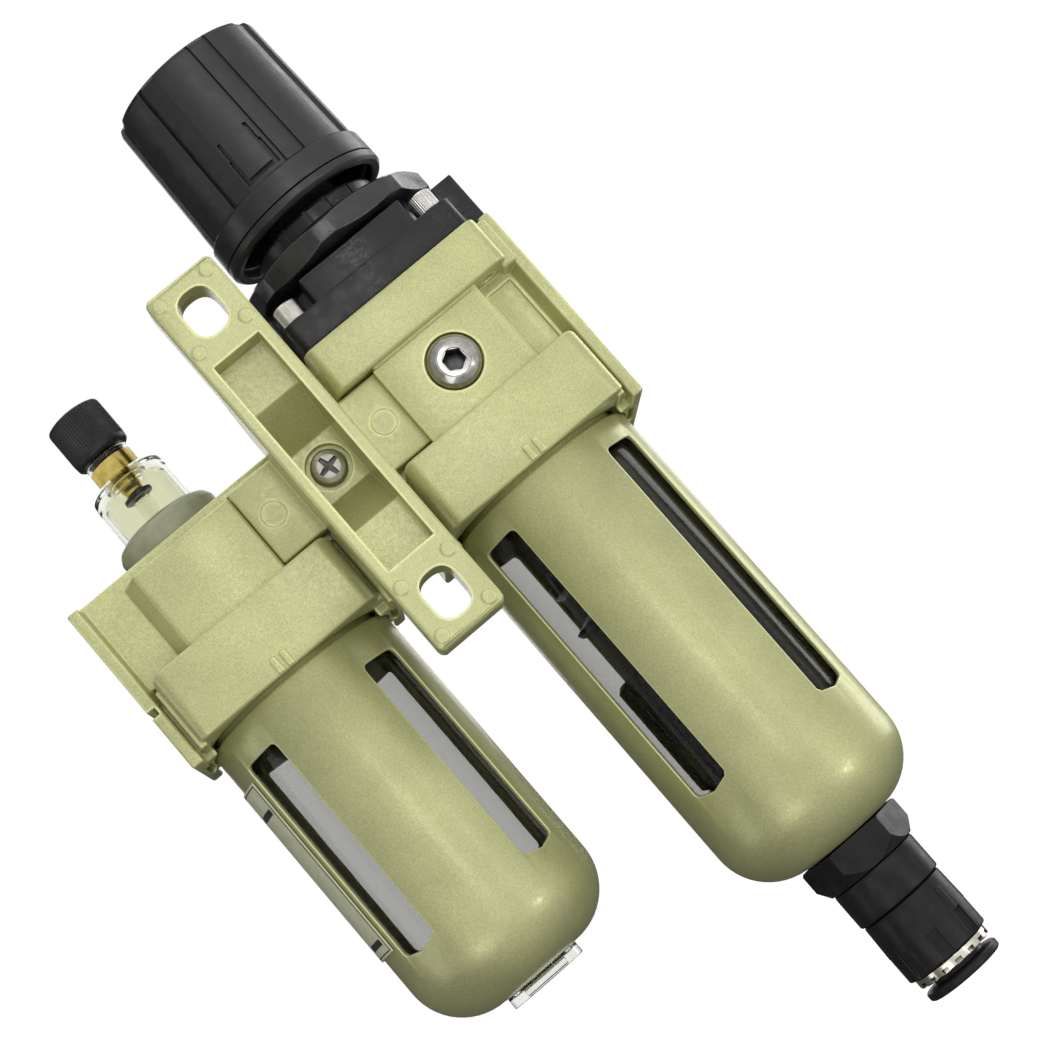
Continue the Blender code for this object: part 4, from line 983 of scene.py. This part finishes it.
def film(first, last, low, high, near, far, steps=16):
    """A thin patch bent round the axis, between two angles, two heights and two radii."""
    bm = bmesh.new()
    angles = [math.radians(first + (last - first) * k / steps) for k in range(steps + 1)]
    rows = []
    for r in (near, far):
        for z in (low, high):
            rows.append([bm.verts.new((r * math.sin(a), -r * math.cos(a), z)) for a in angles])
    inner_low, inner_high, outer_low, outer_high = rows
    strips = ((outer_low, outer_high), (outer_high, inner_high), (inner_high, inner_low), (inner_low, outer_low))
    for lower, upper in strips:
        for k in range(steps):
            bm.faces.new((lower[k], lower[k + 1], upper[k + 1], upper[k]))
    for k in (0, steps):
        bm.faces.new((inner_low[k], outer_low[k], outer_high[k], inner_high[k]))
    return as_object("film", bm)


def oil_level_label():
    near, far = 22.8, 23.05
    label = film(-110.0, -58.5, -80.0, -37.0, near, far)
    publish(label, "oil_level_label_fine", LUB, LABEL, "oil_level_label")
    ink = far + 0.03
    marks = [film(-80.0, -62.0, -44.3, -42.9, far, ink), film(-80.0, -62.0, -77.7, -76.3, far, ink)]
    marks += [film(-109.0, -59.5, z - 0.12, z + 0.12, far, ink) for z in (-37.6, -79.4)]
    marks += [film(a - 0.3, a + 0.3, -79.4, -37.6, far, ink, 2) for a in (-109.0, -59.8)]
    marks += [film(-104.0, -104.0 + (8 if k % 5 == 0 else 5), -73.0 + 2.4 * k, -72.6 + 2.4 * k, far, ink, 4)
              for k in range(11)]
    publish(gather(*marks), "oil_level_marks", LUB, INK, body="lubricator_bowl_assembly")


LABEL = satin_plastic("label_film", (0.60, 0.62, 0.42), (0.68, 0.70, 0.50), (0.25, 0.4))
INK = satin_plastic("label_ink", (0.02, 0.02, 0.02), (0.04, 0.04, 0.04), (0.4, 0.5))

filter_regulator_body()
lubricator_body()
bonnet()
corners = [(x, y) for x in (-17.6, 17.6) for y in (-17.6, 17.6)]
for number, (x, y) in enumerate(corners, 1):
    socket_screw(number, x, y)
panel_nut()
knob()
gauge_plug("gauge_plug_rear", -1)
gauge_plug("gauge_plug_front", 1)
bracket()
pan_screw("bracket_screw_fine", "bracket_screw", -1)
clamp()
pan_screw("clamp_screw_fine", "clamp_screw", 1)
filter_inside()
drain_group()
filter_bowl_group()
sight_group()
oil_parts()
lubricator_bowl_group()
oil_level_label()

# ---- CAD pieces that are kept, mostly inside, with procedural finishes ----
KEPT = {
    "adjusting_screw": STEEL, "spring_seat": BRASS, "pressure_spring": STEEL, "diaphragm_plate": STEEL,
    "diaphragm": RUBBER, "supply_valve": BRASS, "valve_spring": STEEL, "valve_guide": BLACK, "deflector": BLACK,
    "drain_float": FLOAT, "filter_bowl_seal": RUBBER, "lubricator_bowl_seal": RUBBER, "spacer_seal_inlet": RUBBER,
    "spacer_seal_outlet": RUBBER, "spacer": PAINT, "check_ball": STEEL, "flow_damper": RUBBER, "drip_needle": STEEL,
}
for node, skin in KEPT.items():
    kept = frame["nodes"][node]
    kept.data.materials.clear()
    kept.data.materials.append(skin)

# ---- floor, light and camera ----
FLOOR_Z = -0.19


def floor():
    bm = bmesh.new()
    bmesh.ops.create_grid(bm, x_segments=1, y_segments=1, size=30.0)
    plane = as_object("floor", bm)
    plane.location = (0, 0, FLOOR_Z)
    pale = Skin("pale_floor", Base_Color=(0.10, 0.10, 0.10, 1), Roughness=0.9, Specular_IOR_Level=0.0,
                Emission_Color=(1, 1, 1, 1), Emission_Strength=1.0)
    grain = pale.ramp(pale.noise(0.02, 4.0), 0.99, 1.0)
    pale.set(Emission_Color=grain)
    plane.data.materials.append(pale.material)
    plane.visible_diffuse = False
    plane.visible_glossy = False
    plane.visible_shadow = False


def area_light(name, at, target, size, power, colour=(1, 1, 1)):
    light = bpy.data.lights.new(name, "AREA")
    light.shape = "RECTANGLE"
    light.size, light.size_y = size
    light.energy = power
    light.color = colour
    lamp = bpy.data.objects.new(name, light)
    bpy.context.scene.collection.objects.link(lamp)
    lamp.location = at
    lamp.rotation_euler = (Vector(target) - Vector(at)).to_track_quat("-Z", "Y").to_euler()
    lamp.visible_camera = False
    lamp.visible_transmission = False
    return lamp


def world(colour, strength):
    made = bpy.data.worlds.new("studio")
    made.use_nodes = True
    background = made.node_tree.nodes["Background"]
    background.inputs["Color"].default_value = (*colour, 1)
    background.inputs["Strength"].default_value = strength
    made.cycles_visibility.diffuse = False
    made.cycles_visibility.glossy = False
    bpy.context.scene.world = made


def photo_camera():
    """The camera leans by 40 degrees, so that the upright object stands slantwise in the picture."""
    azimuth, roll, lean = math.radians(6.734), math.radians(-1.086), math.radians(40.0)
    forward = Vector((0.1164, 0.9861, 0.1189)).normalized()
    right = Vector((math.cos(azimuth), -math.sin(azimuth), 0))
    up = right.cross(forward)
    r2 = right * math.cos(roll) + up * math.sin(roll)
    u2 = -right * math.sin(roll) + up * math.cos(roll)
    r3 = r2 * math.cos(lean) - u2 * math.sin(lean)
    u3 = r2 * math.sin(lean) + u2 * math.cos(lean)
    camera = bpy.data.cameras.new("camera")
    camera.sensor_width = 36.0
    camera.lens = 86.67
    camera.clip_start, camera.clip_end = 0.01, 100.0
    placed = bpy.data.objects.new("camera", camera)
    bpy.context.scene.collection.objects.link(placed)
    placed.matrix_world = Matrix((
        (r3.x, u3.x, -forward.x, -0.0364),
        (r3.y, u3.y, -forward.y, -0.4769),
        (r3.z, u3.z, -forward.z, -0.0944),
        (0, 0, 0, 1),
    ))
    bpy.context.scene.camera = placed


def dome(brightness, darkest, towards):
    """A shell round the set that only lights and mirrors, brightest towards one side, like a soft tent."""
    bm = bmesh.new()
    bmesh.ops.create_uvsphere(bm, u_segments=48, v_segments=24, radius=6.0)
    shell = as_object("light_dome", bm)
    skin = Skin("dome_light", Base_Color=(0, 0, 0, 1), Roughness=1.0, Specular_IOR_Level=0.0,
                Emission_Strength=brightness)
    away = skin.tree.nodes.new("ShaderNodeVectorMath")
    away.operation = "NORMALIZE"
    skin.feed(away.inputs[0], skin.mapping.outputs["Vector"])
    facing = skin.tree.nodes.new("ShaderNodeVectorMath")
    facing.operation = "DOT_PRODUCT"
    skin.feed(facing.inputs[0], away.outputs["Vector"])
    facing.inputs[1].default_value = Vector(towards).normalized()
    half = skin.math("MULTIPLY", facing.outputs["Value"], 0.5)
    skin.set(Emission_Color=skin.ramp(skin.math("ADD", half, 0.5), darkest, 1.0, 0.36, 0.97))
    shell.data.materials.append(skin.material)
    shell.visible_camera = False
    shell.visible_transmission = False
    shell.visible_shadow = False


floor()
world((1.0, 1.0, 1.0), 1.0)
dome(0.91, 0.09, (0.5, -0.82, 0.24))
TARGET = (0.0, BACK * MM, -0.02)
area_light("key", (0.10, -1.0, 0.22), TARGET, (0.14, 0.6), 0.9)
area_light("low_right", (0.62, -0.62, -0.42), TARGET, (0.14, 0.14), 0.9)
area_light("low_left", (-0.55, -0.85, -0.40), TARGET, (0.5, 0.5), 1.5)
area_light("strip_right", (0.62, -0.95, 0.15), TARGET, (0.05, 0.8), 0.5)
area_light("rim_right", (1.0, 0.6, 0.15), TARGET, (0.6, 1.0), 5.0)
area_light("fill_left", (-1.2, -0.1, 0.1), TARGET, (0.4, 1.0), 1.5)
area_light("overhead", (0.1, 0.3, 1.1), TARGET, (0.9, 0.9), 4.0)
area_light("back", (0.15, 1.1, 0.45), TARGET, (1.0, 0.8), 4.0)
photo_camera()
bpy.context.scene.view_settings.view_transform = "Standard"
bpy.context.scene.view_settings.look = "None"
